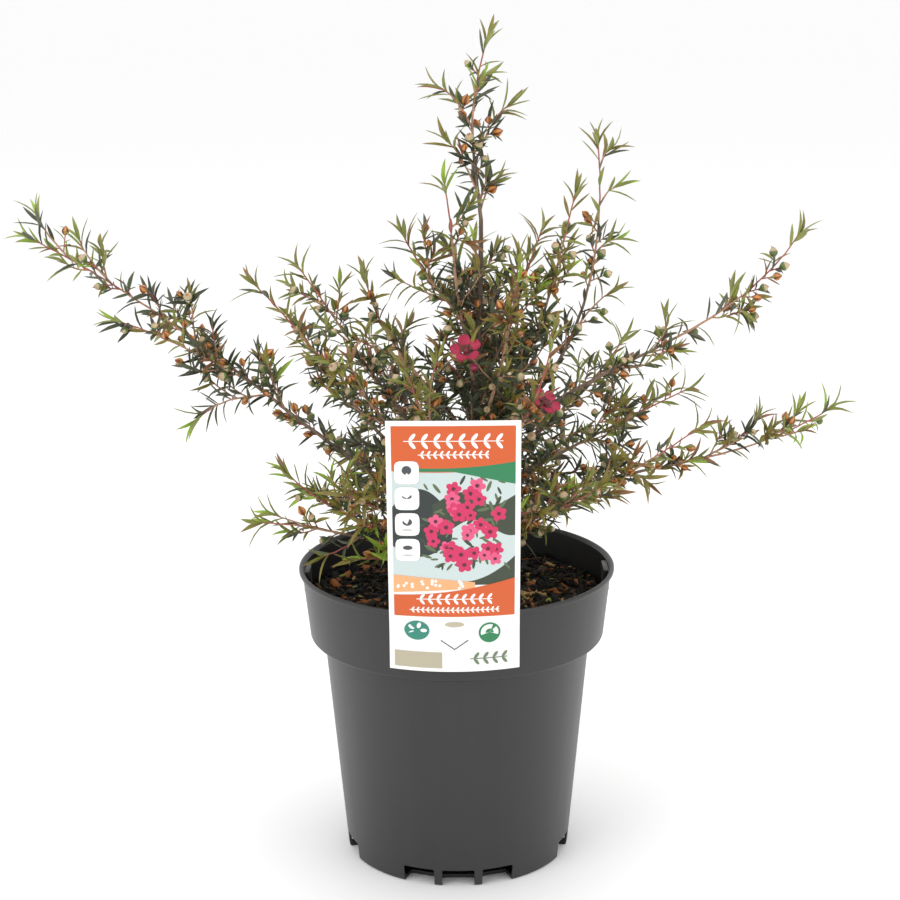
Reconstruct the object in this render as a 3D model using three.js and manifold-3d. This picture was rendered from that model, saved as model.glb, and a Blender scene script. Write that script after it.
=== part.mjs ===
// A potted tea tree shrub: nursery pot, potting mix, plant label, trunk, boughs and masses of foliage.
// Millimetres, +Z up. The origin is the centre of the pot's flat underside and the front is -Y.
import * as THREE from 'three';
import { mergeVertices } from 'three/addons/utils/BufferGeometryUtils.js';
import Module from 'manifold-3d';

const wasm = await Module();
wasm.setup();

const { PI, cos, sin, hypot, floor, min, max, round } = Math;
const DEGREE = PI / 180;
const UP = new THREE.Vector3(0, 0, 1);

// Gap between pieces that lie against each other
const CLEAR = 0.3;

// Nursery pot: a tapered body under a wide collar with a beaded rim
const POT_HEIGHT = 188;
const RIM_RADIUS = 100;
const COLLAR_HEIGHT = 45;
const COLLAR_TOP_RADIUS = 98;
const COLLAR_FOOT_RADIUS = 93.7;
const BODY_TOP_RADIUS = 84.8;
const BODY_FOOT_RADIUS = 72.3;
const POT_WALL = 2;
const POT_FLOOR = 2.4;
const RIM_BEAD = 4;
const BEAD_ROUND = 1.3;
const SHOULDER_DROP = 3;
const FOOT_BEVEL = 1.6;
const POT_SEGMENTS = 26;
const FACET = cos(PI / POT_SEGMENTS);
const COLLAR_SLOPE = (COLLAR_TOP_RADIUS - COLLAR_FOOT_RADIUS) / COLLAR_HEIGHT;

// Drain holes in threes round the foot, and two hanger slots under the rim
const DRAIN_SIDES = 4;
const DRAIN_STEP = 20 * DEGREE;
const DRAIN_WIDTH = 20;
const DRAIN_HEIGHT = 7;
const DRAIN_DEPTH = 12;
const SLOT_WIDTH = 16;
const SLOT_HEIGHT = 9;
const SLOT_DROP = 9;
const SLOT_FRAME = 2.5;
const FRAME_DEPTH = 6;

// Potting mix: it fills the pot to a little below the rim and rises towards the trunk
const MIX_TOP = 165;
const MIX_CROWN = 170;
const MIX_RING = 0.5;
const MIX_RUFFLE = 1.4;
const MIX_WAVES = 7;

// Plant label: a card over the rim with a narrow tongue behind it
const LABEL_WIDTH = 76;
const LABEL_FOOT = 153;
const LABEL_TOP = 309;
const LABEL_BEND = 176;
const LABEL_CARD = 0.8;
const LABEL_OFFSET = -1.4;
const LABEL_LEAN = 8 * DEGREE;
const TONGUE_WIDTH = 30;
const TONGUE_FOOT = 172;

// Trunk: it leans a little to the right as it rises and flares at the root
const TRUNK_FOOT = MIX_CROWN + CLEAR;
const TRUNK_TOP = 405;
const TRUNK_LEAN = 16;
const TRUNK_RADIUS = 4.6;
const TRUNK_TIP_RADIUS = 1.7;
const FLARE_RADIUS = 3.2;
const FLARE_HEIGHT = 14;
const TRUNK_SIDES = 8;
const TRUNK_STEP = 20;
const TRUNK_ROOM = 1.2 * CLEAR;

// Boughs and twigs
const BOUGH_SIDES = 5;
const BOUGH_PULL = 0.38;
const TWIG_SIDES = 3;
const RING_STEP = 30;
const BOUGH_STEP = 24;
const SHOOT_RADIUS = 1.7;
const STEM_TIP_RADIUS = 1.2;
const SIDE_RADIUS = 0.85;
const TWIG_RADIUS = 0.75;
const TWIG_STEP = 66;
const TWIG_LENGTH = 22;
const TWIG_SPREAD = 46 * DEGREE;
const TWIG_LIFT = 0.25;
const BARE_ON_TRUNK = 0.2;
const BARE_SIDE = 0.2;
const TWIGS_END = 0.85;
const KNEE_ALONG = 0.2;
const KNEE_OUT = 0.35;

// Leaves, buds and blossoms: each leaf and twig leaves the middle of one of its stem's three faces
const FACE_TURN = 2 * PI / TWIG_SIDES;
const FACE_JITTER = 24 * DEGREE;
const LEAF_LENGTH = 22;
const LEAF_WIDTH = 5.6;
const LEAF_THICKNESS = 1.3;
const LEAF_WIDEST = 0.36;
const LEAF_SUNK = 0.35;
const LEAF_ROOM = LEAF_WIDTH / 3;
const LEAF_STEP = 13.5;
const LEAF_SPREAD = 52 * DEGREE;
const TIP_SPREAD = 24 * DEGREE;
const LEAF_END = 6;
const BUD_END = 12;
const TIP_ROOM = 13;
const TIP_LEAVES = 2;
const TIP_STEP = 3.5;
const TIP_INSET = 1;
const SIZE_RANGE = 0.15;
const ROOT_SHARE = 0.35;
const BUD_LENGTH = 7.5;
const BUD_WIDTH = 5.4;
const BUD_WIDEST = 0.6;
const BUD_STEP = 75;
const BUD_SPREAD = 70 * DEGREE;
const BLOSSOM_RADIUS = 7.5;
const BLOSSOM_NOTCH = 3.6;
const BLOSSOM_THICKNESS = 1.6;
const BLOSSOM_SLOPE = 20;
const PETALS = 5;

// Shoots that rise from the trunk. foot: height on the trunk; azimuth: compass of the shoot from +X;
// reach, tip: how far out and how high its last leaves lie; start, end: slope at both ends in degrees;
// bough: share of the shoot that is bare bough; sides: [share, azimuth, slope, length] of side shoots.
const SHOOTS = [
  { name: 'left_limb', foot: 209, azimuth: 186, reach: 265, tip: 405, start: 33, end: 28, bough: 0.3,
    radius: 2.5,
    sides: [[0.42, 261, 70, 34], [0.45, 207, -12, 60], [0.48, 200, 29, 108], [0.8, 178, 56, 44],
      [0.88, 182, 55, 46]] },
  { name: 'left_rise', foot: 228, azimuth: 174, reach: 138, tip: 373, start: 30, end: 42, bough: 0.32,
    sides: [[0.55, 150, 49, 55]] },
  { name: 'left_spray', foot: 242, azimuth: 158, reach: 120, tip: 379, start: 38, end: 50, bough: 0.32,
    sides: [[0.6, 140, 20, 40]] },
  { name: 'left_front', foot: 222, azimuth: 204, reach: 110, tip: 342, start: 42, end: 30, bough: 0.3,
    sides: [[0.6, 230, 60, 44]] },
  { name: 'left_upright', foot: 268, azimuth: 149, reach: 78, tip: 378, start: 48, end: 86, bough: 0,
    sides: [[0.5, 70, 61, 31]] },
  { name: 'left_front_upright', foot: 238, azimuth: 239, reach: 74, tip: 340, start: 50, end: 70, bough: 0,
    sides: [[0.5, 330, 82, 55]] },
  { name: 'leader_left', foot: 336, azimuth: 186, reach: 50, tip: 408, start: 45, end: 66, bough: 0,
    sides: [[0.5, 300, 70, 28]] },
  { name: 'leader_near', foot: 318, azimuth: 225, reach: 30, tip: 441, start: 60, end: 70, bough: 0,
    sides: [[0.6, 318, 20, 24]] },
  { name: 'leader_far', foot: 352, azimuth: 121, reach: 35, tip: 390, start: 60, end: 70, bough: 0,
    sides: [] },
  { name: 'centre_front', foot: 245, azimuth: 303, reach: 53, tip: 402, start: 68, end: 88, bough: 0,
    sides: [[0.6, 263, 43, 36]] },
  { name: 'centre_right', foot: 300, azimuth: 354, reach: 44, tip: 410, start: 55, end: 65, bough: 0,
    sides: [[0.5, 117, 61, 29]] },
  { name: 'right_inner', foot: 270, azimuth: 349, reach: 65, tip: 435, start: 50, end: 76, bough: 0.25,
    sides: [[0.55, 306, 60, 34]] },
  { name: 'right_tall', foot: 262, azimuth: 15, reach: 78, tip: 463, start: 28, end: 98, bough: 0.28,
    sides: [[0.42, 350, 48, 48], [0.64, 10, 35, 28], [0.77, 2, 48, 28], [0.87, 346, 60, 26]] },
  { name: 'right_front', foot: 215, azimuth: 307, reach: 87, tip: 362, start: 56, end: 82, bough: 0,
    sides: [] },
  { name: 'right_arm', foot: 244, azimuth: 7, reach: 212, tip: 403, start: 52, end: 62, bough: 0.3,
    radius: 2.1,
    sides: [[0.5, 12, 5, 30], [0.52, 23, 65, 32], [0.7, 41, 50, 26], [0.72, 350, -20, 22]] },
  { name: 'right_short', foot: 228, azimuth: 18, reach: 160, tip: 293, start: 22, end: 20, bough: 0.3,
    sides: [[0.5, 46, 55, 60], [0.72, 40, 20, 30]] },
  { name: 'right_low_inner', foot: 210, azimuth: 351, reach: 155, tip: 289, start: 12, end: 38, bough: 0.3,
    sides: [[0.6, 319, -2, 30], [0.5, 0, 60, 34]] },
  { name: 'right_low', foot: 200, azimuth: 1, reach: 239, tip: 294, start: 40, end: 38, bough: 0.3,
    radius: 2.1,
    sides: [[0.5, 340, 20, 40], [0.62, 9, 35, 54], [0.78, 13, 41, 38]] },
  { name: 'right_foot', foot: 193, azimuth: 336, reach: 111, tip: 246, start: 12, end: 4, bough: 0,
    sides: [[0.55, 350, 50, 34]] },
  { name: 'right_drop', foot: 200, azimuth: 309, reach: 84, tip: 238, start: 18, end: -6, bough: 0,
    sides: [] },
  { name: 'left_foot', foot: 202, azimuth: 193, reach: 116, tip: 265, start: 12, end: 55, bough: 0,
    sides: [[0.5, 255, 70, 50], [0.62, 165, 30, 34]] },
  { name: 'left_low', foot: 193, azimuth: 197, reach: 138, tip: 227, start: 10, end: 3, bough: 0.3,
    sides: [[0.6, 193, 21, 50]] },
  { name: 'left_drop', foot: 186, azimuth: 214, reach: 89, tip: 205, start: 8, end: 0, bough: 0,
    sides: [[0.5, 250, 34, 38]] },
  { name: 'front_bloom', foot: 300, azimuth: 263, reach: 46, tip: 334, start: 38, end: 34, bough: 0,
    blossom: true, sides: [] },
  { name: 'right_bloom', foot: 268, azimuth: 310, reach: 66, tip: 303, start: 30, end: 24, bough: 0,
    blossom: true, sides: [] },
  { name: 'left_near', foot: 216, azimuth: 224, reach: 108, tip: 262, start: 18, end: 40, bough: 0,
    sides: [[0.55, 250, 50, 36], [0.6, 195, 40, 34]] },
  { name: 'right_near', foot: 208, azimuth: 322, reach: 112, tip: 262, start: 16, end: 36, bough: 0,
    sides: [[0.5, 300, 60, 34], [0.6, 350, 45, 38]] },
  { name: 'back_right', foot: 234, azimuth: 42, reach: 150, tip: 322, start: 28, end: 46, bough: 0.3,
    sides: [[0.55, 70, 40, 46], [0.7, 25, 30, 30]] },
  { name: 'back_limb', foot: 218, azimuth: 78, reach: 178, tip: 300, start: 24, end: 34, bough: 0.3,
    radius: 2.1, sides: [[0.5, 100, 40, 50], [0.65, 55, 30, 40], [0.8, 95, 45, 30]] },
  { name: 'back_left', foot: 230, azimuth: 116, reach: 158, tip: 318, start: 30, end: 44, bough: 0.3,
    sides: [[0.5, 95, 50, 44], [0.68, 140, 30, 36]] },
  { name: 'back_upright', foot: 280, azimuth: 88, reach: 74, tip: 392, start: 44, end: 78, bough: 0.28,
    sides: [[0.5, 60, 50, 36], [0.65, 120, 40, 30]] },
  { name: 'back_low_right', foot: 206, azimuth: 54, reach: 126, tip: 246, start: 16, end: 22, bough: 0.28,
    sides: [[0.55, 30, 40, 36]] },
  { name: 'back_low_left', foot: 204, azimuth: 134, reach: 132, tip: 250, start: 16, end: 26, bough: 0.28,
    sides: [[0.55, 160, 40, 38], [0.6, 110, 30, 30]] },
  { name: 'back_near', foot: 212, azimuth: 98, reach: 102, tip: 228, start: 12, end: 8, bough: 0,
    sides: [[0.6, 80, 40, 30]] },
];

// The leader goes on above the trunk with a slight bow to the left
const LEADER_TIP = { x: 20, z: 512 };
const LEADER_BOW = 14;
const LEADER_PULL = 45;
const LEADER_SIDES = [[0.04, 18, 62, 34], [0.14, 195, 60, 50], [0.3, 10, 60, 54], [0.5, 189, 52, 44],
  [0.6, 80, 45, 24], [0.76, 24, 45, 18]];

// The same numbers for the same seed on every run
const FIRST_SEED = 4001;
const SEED_STEP = 77;
const SEED_FACTOR = 1664525;
const SEED_ADD = 1013904223;

function seeded(seed) {
  let state = seed;
  return () => {
    state = (Math.imul(state, SEED_FACTOR) + SEED_ADD) >>> 0;
    return state / 2 ** 32;
  };
}

function compass(azimuth, slope) {
  const level = cos(slope * DEGREE);
  return new THREE.Vector3(level * cos(azimuth * DEGREE), level * sin(azimuth * DEGREE), sin(slope * DEGREE));
}

// A closed geometry as a solid that can be joined and cut
function solid(geometry) {
  const bare = new THREE.BufferGeometry();
  bare.setAttribute('position', geometry.getAttribute('position'));
  bare.setIndex(geometry.getIndex());
  const merged = mergeVertices(bare, 1e-4);
  const corners = merged.getIndex().array;
  const faces = [];
  for (let i = 0; i < corners.length; i += 3) {
    const [a, b, c] = corners.slice(i, i + 3);
    if (a !== b && b !== c && c !== a) faces.push(a, b, c);
  }
  return new wasm.Manifold(new wasm.Mesh({
    numProp: 3,
    vertProperties: new Float32Array(merged.getAttribute('position').array),
    triVerts: new Uint32Array(faces),
  }));
}

function named(name, body, material) {
  const mesh = body.getMesh();
  const geometry = new THREE.BufferGeometry();
  geometry.setAttribute('position', new THREE.BufferAttribute(new Float32Array(mesh.vertProperties), 3));
  geometry.setIndex(new THREE.BufferAttribute(new Uint32Array(mesh.triVerts), 1));
  geometry.computeVertexNormals();
  const part = new THREE.Mesh(geometry, material);
  part.name = name;
  return part;
}

function finish(color, roughness) {
  return new THREE.MeshStandardMaterial({ color, roughness, metalness: 0 });
}

// Two directions square to a given one
function acrossFrom(direction) {
  const side = new THREE.Vector3().crossVectors(direction, UP);
  if (side.length() < 0.05) side.set(1, 0, 0);
  side.normalize();
  return [side, new THREE.Vector3().crossVectors(side, direction).normalize()];
}

// A stem's centre line: straight stretches of about one step that follow a curve from share a to share b
class StemLine {
  constructor(curve, step, a = 0, b = 1) {
    this.length = curve.getLength() * (b - a);
    this.steps = max(1, round(this.length / step));
    this.points = [];
    for (let i = 0; i <= this.steps; i += 1) this.points.push(curve.getPointAt(a + (b - a) * i / this.steps));
  }

  at(share) {
    const step = min(floor(share * this.steps), this.steps - 1);
    return this.points[step].clone().lerp(this.points[step + 1], share * this.steps - step);
  }

  heading(share) {
    const step = min(floor(share * this.steps), this.steps - 1);
    return this.points[step + 1].clone().sub(this.points[step]).normalize();
  }
}

// A limb round a stem line, its radius given at each share of the line
function limb(line, radiusAt, sides) {
  const geometry = new THREE.CylinderGeometry(1, 1, 1, sides, line.steps);
  const place = geometry.getAttribute('position');
  for (let i = 0; i < place.count; i += 1) {
    const ring = round((place.getY(i) + 0.5) * line.steps);
    const before = line.points[max(ring - 1, 0)];
    const after = line.points[min(ring + 1, line.steps)];
    const [side, over] = acrossFrom(after.clone().sub(before).normalize());
    const radius = radiusAt(ring / line.steps);
    const corner = line.points[ring].clone();
    corner.addScaledVector(over, place.getX(i) * radius).addScaledVector(side, -place.getZ(i) * radius);
    place.setXYZ(i, corner.x, corner.y, corner.z);
  }
  return solid(geometry);
}

// A shape pointing along +X set on a twig with its root sunk in
function stand(geometry, root, direction, sunk, roll = 0) {
  const [side, over] = acrossFrom(direction);
  const turn = new THREE.Matrix4().makeBasis(direction, side.clone().negate(), over);
  geometry.rotateX(roll);
  geometry.applyMatrix4(turn);
  geometry.translate(
    root.x - direction.x * sunk, root.y - direction.y * sunk, root.z - direction.z * sunk);
  return solid(geometry);
}

// Corners of a shape along X moved so that it runs from 0 to a length, widest at a share of it
function shaped(geometry, length, width, thickness, widest) {
  const place = geometry.getAttribute('position');
  for (let i = 0; i < place.count; i += 1) {
    const end = Math.sign(round(place.getX(i)));
    const along = end === 0 ? widest : (end + 1) / 2;
    const y = Math.sign(round(place.getY(i)));
    const z = Math.sign(round(place.getZ(i)));
    place.setXYZ(i, along * length, y * width / 2, z * thickness / 2);
  }
  return geometry;
}

// Keeled leaf: its midrib is the straight lower edge, and its two margins rise beside it
function blade(length) {
  const geometry = new THREE.TetrahedronGeometry(2);
  geometry.rotateZ(-PI / 4);
  geometry.rotateX(PI);
  shaped(geometry, length, LEAF_WIDTH, LEAF_THICKNESS, LEAF_WIDEST);
  return geometry.translate(0, 0, LEAF_THICKNESS / 2);
}

function bud() {
  return shaped(new THREE.OctahedronGeometry(1), BUD_LENGTH + LEAF_SUNK, BUD_WIDTH, BUD_WIDTH, BUD_WIDEST);
}

// Five-petalled blossom as a notched disc that faces +X
function blossomDisc() {
  const outline = new THREE.Shape();
  for (let i = 0; i < 2 * PETALS; i += 1) {
    const radius = i % 2 ? BLOSSOM_NOTCH : BLOSSOM_RADIUS;
    const angle = i * PI / PETALS;
    if (i === 0) outline.moveTo(radius, 0);
    else outline.lineTo(radius * cos(angle), radius * sin(angle));
  }
  const geometry = new THREE.ExtrudeGeometry(outline, { depth: BLOSSOM_THICKNESS, bevelEnabled: false });
  geometry.rotateY(PI / 2);
  return geometry;
}

// Shortest distance between the segments a-b and c-d
function segmentGap(a, b, c, d) {
  const u = b.clone().sub(a);
  const v = d.clone().sub(c);
  const w = a.clone().sub(c);
  const uu = u.dot(u);
  const uv = u.dot(v);
  const vv = v.dot(v);
  const uw = u.dot(w);
  const vw = v.dot(w);
  const spread = uu * vv - uv * uv;
  const clamp = (value) => min(max(value, 0), 1);
  let s = spread > 1e-9 ? clamp((uv * vw - vv * uw) / spread) : 0;
  const t = vv > 0 ? clamp((uv * s + vw) / vv) : 0;
  s = uu > 0 ? clamp((uv * t - uw) / uu) : 0;
  return w.clone().addScaledVector(u, s).addScaledVector(v, -t).length();
}

// The room that is taken so far, as rods with an owner
const taken = [];

function take(owner, from, to, radius) {
  taken.push({ owner, from, to, radius });
}

function takeLine(owner, line, radius) {
  for (let i = 0; i < line.steps; i += 1) take(owner, line.points[i], line.points[i + 1], radius);
}

function isFree(owner, from, to, radius) {
  return taken.every((rod) => rod.owner === owner
    || segmentGap(from, to, rod.from, rod.to) > radius + rod.radius + CLEAR);
}

// Pot wall, mix and label keep some space to themselves
const POT_ROOM = 5;
const LABEL_ROOM = 9;

function clearOfPot(point) {
  const beyondWall = hypot(point.x, point.y) > COLLAR_FOOT_RADIUS - POT_WALL - POT_ROOM;
  const overMix = point.z > MIX_CROWN + POT_ROOM;
  const overRim = point.z > POT_HEIGHT + POT_ROOM;
  const atLabel = Math.abs(point.x - LABEL_OFFSET) < LABEL_WIDTH / 2 + LABEL_ROOM
    && point.z < LABEL_TOP + LABEL_ROOM && point.y < -(COLLAR_TOP_RADIUS - LABEL_ROOM);
  return overMix && (overRim || !beyondWall) && !atLabel;
}

// The pot's outer or inner wall from its axis up to the rim, as [radius, height]
function potProfile(outer) {
  const shoulder = POT_HEIGHT - COLLAR_HEIGHT;
  const wall = outer ? 0 : POT_WALL;
  const floor = outer ? 0 : POT_FLOOR;
  const foot = outer ? FOOT_BEVEL : 0;
  const points = [
    [0, floor],
    [BODY_FOOT_RADIUS - wall - foot, floor],
    [BODY_FOOT_RADIUS - wall, floor + foot],
    [BODY_TOP_RADIUS - wall, shoulder - wall],
    [COLLAR_FOOT_RADIUS - wall - SHOULDER_DROP, shoulder + wall / 2],
    [COLLAR_FOOT_RADIUS - wall, shoulder + SHOULDER_DROP + wall],
    [COLLAR_TOP_RADIUS - wall, POT_HEIGHT - RIM_BEAD],
  ];
  return points.filter((point, i) => outer || i !== 2);
}

// An outline of [radius, height] turned round the pot's axis
function turned(points) {
  const profile = points.map(([radius, height]) => new THREE.Vector2(radius, height));
  return new THREE.LatheGeometry(profile, POT_SEGMENTS).rotateX(PI / 2);
}

// A block in the left or right side of the collar, level with the hanger slots
function slotBlock(side, from, to, width, height) {
  const box = new THREE.BoxGeometry(to - from, width, height);
  box.translate(side * (from + to) / 2, 0, POT_HEIGHT - SLOT_DROP);
  return solid(box);
}

// What the collar holds, out to the middle of its wall: the slots' frames end there
function framesRoom() {
  const top = POT_HEIGHT - BEAD_ROUND;
  const foot = POT_HEIGHT - COLLAR_HEIGHT + SHOULDER_DROP + POT_WALL;
  const halfWall = POT_WALL / 2;
  return solid(turned([
    [0, foot],
    [COLLAR_FOOT_RADIUS - halfWall, foot],
    [COLLAR_TOP_RADIUS - halfWall, POT_HEIGHT - RIM_BEAD],
    [COLLAR_TOP_RADIUS - halfWall, top],
    [0, top],
  ]));
}

function makePot() {
  const bead = [
    [RIM_RADIUS, POT_HEIGHT - RIM_BEAD],
    [RIM_RADIUS, POT_HEIGHT - BEAD_ROUND],
    [RIM_RADIUS - BEAD_ROUND, POT_HEIGHT],
    [COLLAR_TOP_RADIUS - POT_WALL, POT_HEIGHT],
  ];
  const outer = potProfile(true).concat(bead);
  const inner = potProfile(false).reverse();
  let pot = solid(turned(outer.concat(inner, [outer[0]])));
  const frameIn = COLLAR_TOP_RADIUS - POT_WALL - FRAME_DEPTH;
  const room = framesRoom();
  for (const side of [-1, 1]) {
    const border = 2 * SLOT_FRAME;
    const frame = slotBlock(side, frameIn, RIM_RADIUS, SLOT_WIDTH + border, SLOT_HEIGHT + border);
    const slot = slotBlock(side, frameIn - POT_WALL, RIM_RADIUS + POT_WALL, SLOT_WIDTH, SLOT_HEIGHT);
    pot = pot.add(frame.intersect(room)).subtract(slot);
  }
  for (let side = 0; side < DRAIN_SIDES; side += 1) {
    for (const step of [-1, 0, 1]) {
      const hole = new THREE.BoxGeometry(2 * DRAIN_DEPTH, DRAIN_WIDTH, 2 * DRAIN_HEIGHT);
      hole.translate(BODY_FOOT_RADIUS, 0, 0);
      hole.rotateZ(-PI / 2 + side * 2 * PI / DRAIN_SIDES + step * DRAIN_STEP);
      pot = pot.subtract(solid(hole));
    }
  }
  return named('pot', pot, finish(0x53565a, 0.5));
}

// Potting mix, with a slightly uneven top and a flat seat under the trunk
function makeMix() {
  const inner = potProfile(false);
  const shoulder = inner.slice(1, 5).map(([radius, height]) => [radius - CLEAR, height + CLEAR]);
  const topRadius = COLLAR_FOOT_RADIUS - POT_WALL - 2 * CLEAR + COLLAR_SLOPE * (MIX_TOP - inner[4][1]);
  const ring = [topRadius * (1 - MIX_RING), MIX_TOP + (MIX_CROWN - MIX_TOP) * MIX_RING];
  const seat = [[2 * (TRUNK_RADIUS + FLARE_RADIUS), MIX_CROWN], [0, MIX_CROWN]];
  const geometry = turned([[0, POT_FLOOR + CLEAR], ...shoulder, [topRadius, MIX_TOP], ring, ...seat]);
  const place = geometry.getAttribute('position');
  for (let i = 0; i < place.count; i += 1) {
    const height = place.getZ(i);
    if (height > MIX_TOP + CLEAR && height < MIX_CROWN - CLEAR) {
      const angle = MIX_WAVES * Math.atan2(place.getY(i), place.getX(i));
      place.setZ(i, height + MIX_RUFFLE * sin(angle));
    }
  }
  return named('potting_mix', solid(geometry), finish(0x2d231c, 0.95));
}

// A side outline of [distance towards the front, height] drawn out to a width
function drawnOut(outline, width) {
  const side = new THREE.Shape(outline.map(([out, height]) => new THREE.Vector2(out, height)));
  const geometry = new THREE.ExtrudeGeometry(side, { depth: width, bevelEnabled: false });
  geometry.rotateX(PI / 2);
  geometry.translate(0, width / 2, 0);
  geometry.rotateZ(-PI / 2);
  geometry.translate(LABEL_OFFSET, 0, 0);
  return solid(geometry);
}

// Label: the card hangs against the rim's front facet, leans forward above the bend and has a tongue behind the rim
function makeLabel() {
  const back = RIM_RADIUS * FACET + CLEAR;
  const lean = Math.tan(LABEL_LEAN);
  const topBack = back + (LABEL_TOP - LABEL_BEND) * lean;
  const card = drawnOut([
    [back, LABEL_FOOT],
    [back + LABEL_CARD, LABEL_FOOT],
    [back + LABEL_CARD, LABEL_BEND],
    [topBack + LABEL_CARD, LABEL_TOP],
    [topBack, LABEL_TOP],
    [back, LABEL_BEND],
  ], LABEL_WIDTH);
  const over = POT_HEIGHT + CLEAR;
  const cardAtRim = back + LABEL_CARD / 2 + (over - LABEL_BEND) * lean;
  const wallInside = (COLLAR_TOP_RADIUS - POT_WALL - (POT_HEIGHT - TONGUE_FOOT) * COLLAR_SLOPE) * FACET;
  const tongueFront = Math.sqrt(wallInside ** 2 - (TONGUE_WIDTH / 2 - LABEL_OFFSET) ** 2) - CLEAR;
  const tongue = drawnOut([
    [tongueFront, TONGUE_FOOT],
    [tongueFront, over],
    [cardAtRim, over],
    [cardAtRim, over + LABEL_CARD],
    [tongueFront - LABEL_CARD, over + LABEL_CARD],
    [tongueFront - LABEL_CARD, TONGUE_FOOT],
  ], TONGUE_WIDTH);
  return named('label', card.add(tongue), finish(0xf2efe9, 0.6));
}

// Trunk
const TRUNK_RISE = TRUNK_TOP - TRUNK_FOOT;

function trunkPoint(height) {
  const share = (height - TRUNK_FOOT) / TRUNK_RISE;
  return new THREE.Vector3(TRUNK_LEAN * sin(share * PI / 2), 0, height);
}

function trunkRadius(height) {
  const rise = height - TRUNK_FOOT;
  const flare = FLARE_RADIUS * max(0, 1 - rise / FLARE_HEIGHT) ** 2;
  return TRUNK_RADIUS + (TRUNK_TIP_RADIUS - TRUNK_RADIUS) * rise / TRUNK_RISE + flare;
}

// The trunk's rings lie level, closer together over the flare, so its foot is a flat cut
const TRUNK_HEIGHTS = [0, 0.35, 1, 2.2].map((flares) => TRUNK_FOOT + flares * FLARE_HEIGHT);
const lastFlare = TRUNK_HEIGHTS.at(-1);
const evenSteps = round((TRUNK_TOP - lastFlare) / TRUNK_STEP);
for (let i = 1; i <= evenSteps; i += 1) {
  TRUNK_HEIGHTS.push(lastFlare + (TRUNK_TOP - lastFlare) * i / evenSteps);
}

function trunkSolid(extra) {
  const steps = TRUNK_HEIGHTS.length - 1;
  const geometry = new THREE.CylinderGeometry(1, 1, 1, TRUNK_SIDES, steps);
  geometry.rotateX(PI / 2);
  const place = geometry.getAttribute('position');
  for (let i = 0; i < place.count; i += 1) {
    const height = TRUNK_HEIGHTS[round((place.getZ(i) + 0.5) * steps)];
    const centre = trunkPoint(height);
    const radius = trunkRadius(height) + extra;
    place.setXYZ(i, centre.x + place.getX(i) * radius, centre.y + place.getY(i) * radius, height);
  }
  return solid(geometry);
}

// Shoots: each is a bare bough and the leafy mass that it carries on as
function shootCurve(shoot) {
  const foot = trunkPoint(shoot.foot);
  foot.addScaledVector(compass(shoot.azimuth, 0), trunkRadius(shoot.foot) / 2);
  const tip = foot.clone().addScaledVector(compass(shoot.azimuth, 0), shoot.reach).setZ(shoot.tip);
  const pull = BOUGH_PULL * foot.distanceTo(tip);
  return new THREE.CubicBezierCurve3(
    foot,
    foot.clone().addScaledVector(compass(shoot.azimuth, shoot.start), pull),
    tip.clone().addScaledVector(compass(shoot.azimuth, shoot.end), -pull),
    tip,
  );
}

// A side shoot leaves its stem line at a share of the whole shoot and swings round to its own heading
function sideLine(line, share, azimuth, slope, length) {
  const foot = line.at(share);
  const heading = compass(azimuth, slope);
  const knee = foot.clone().addScaledVector(line.heading(share), KNEE_ALONG * length);
  knee.addScaledVector(heading, KNEE_OUT * length);
  const tip = foot.clone().addScaledVector(heading, length - TIP_ROOM);
  return new StemLine(new THREE.QuadraticBezierCurve3(foot, knee, tip), RING_STEP);
}

// Directions round a stem: out to the side and forward along it
function sideways(along, angle, spread) {
  const [side, over] = acrossFrom(along);
  const out = side.multiplyScalar(cos(angle)).addScaledVector(over, sin(angle));
  return out.multiplyScalar(sin(spread)).addScaledVector(along, cos(spread)).normalize();
}

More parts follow.
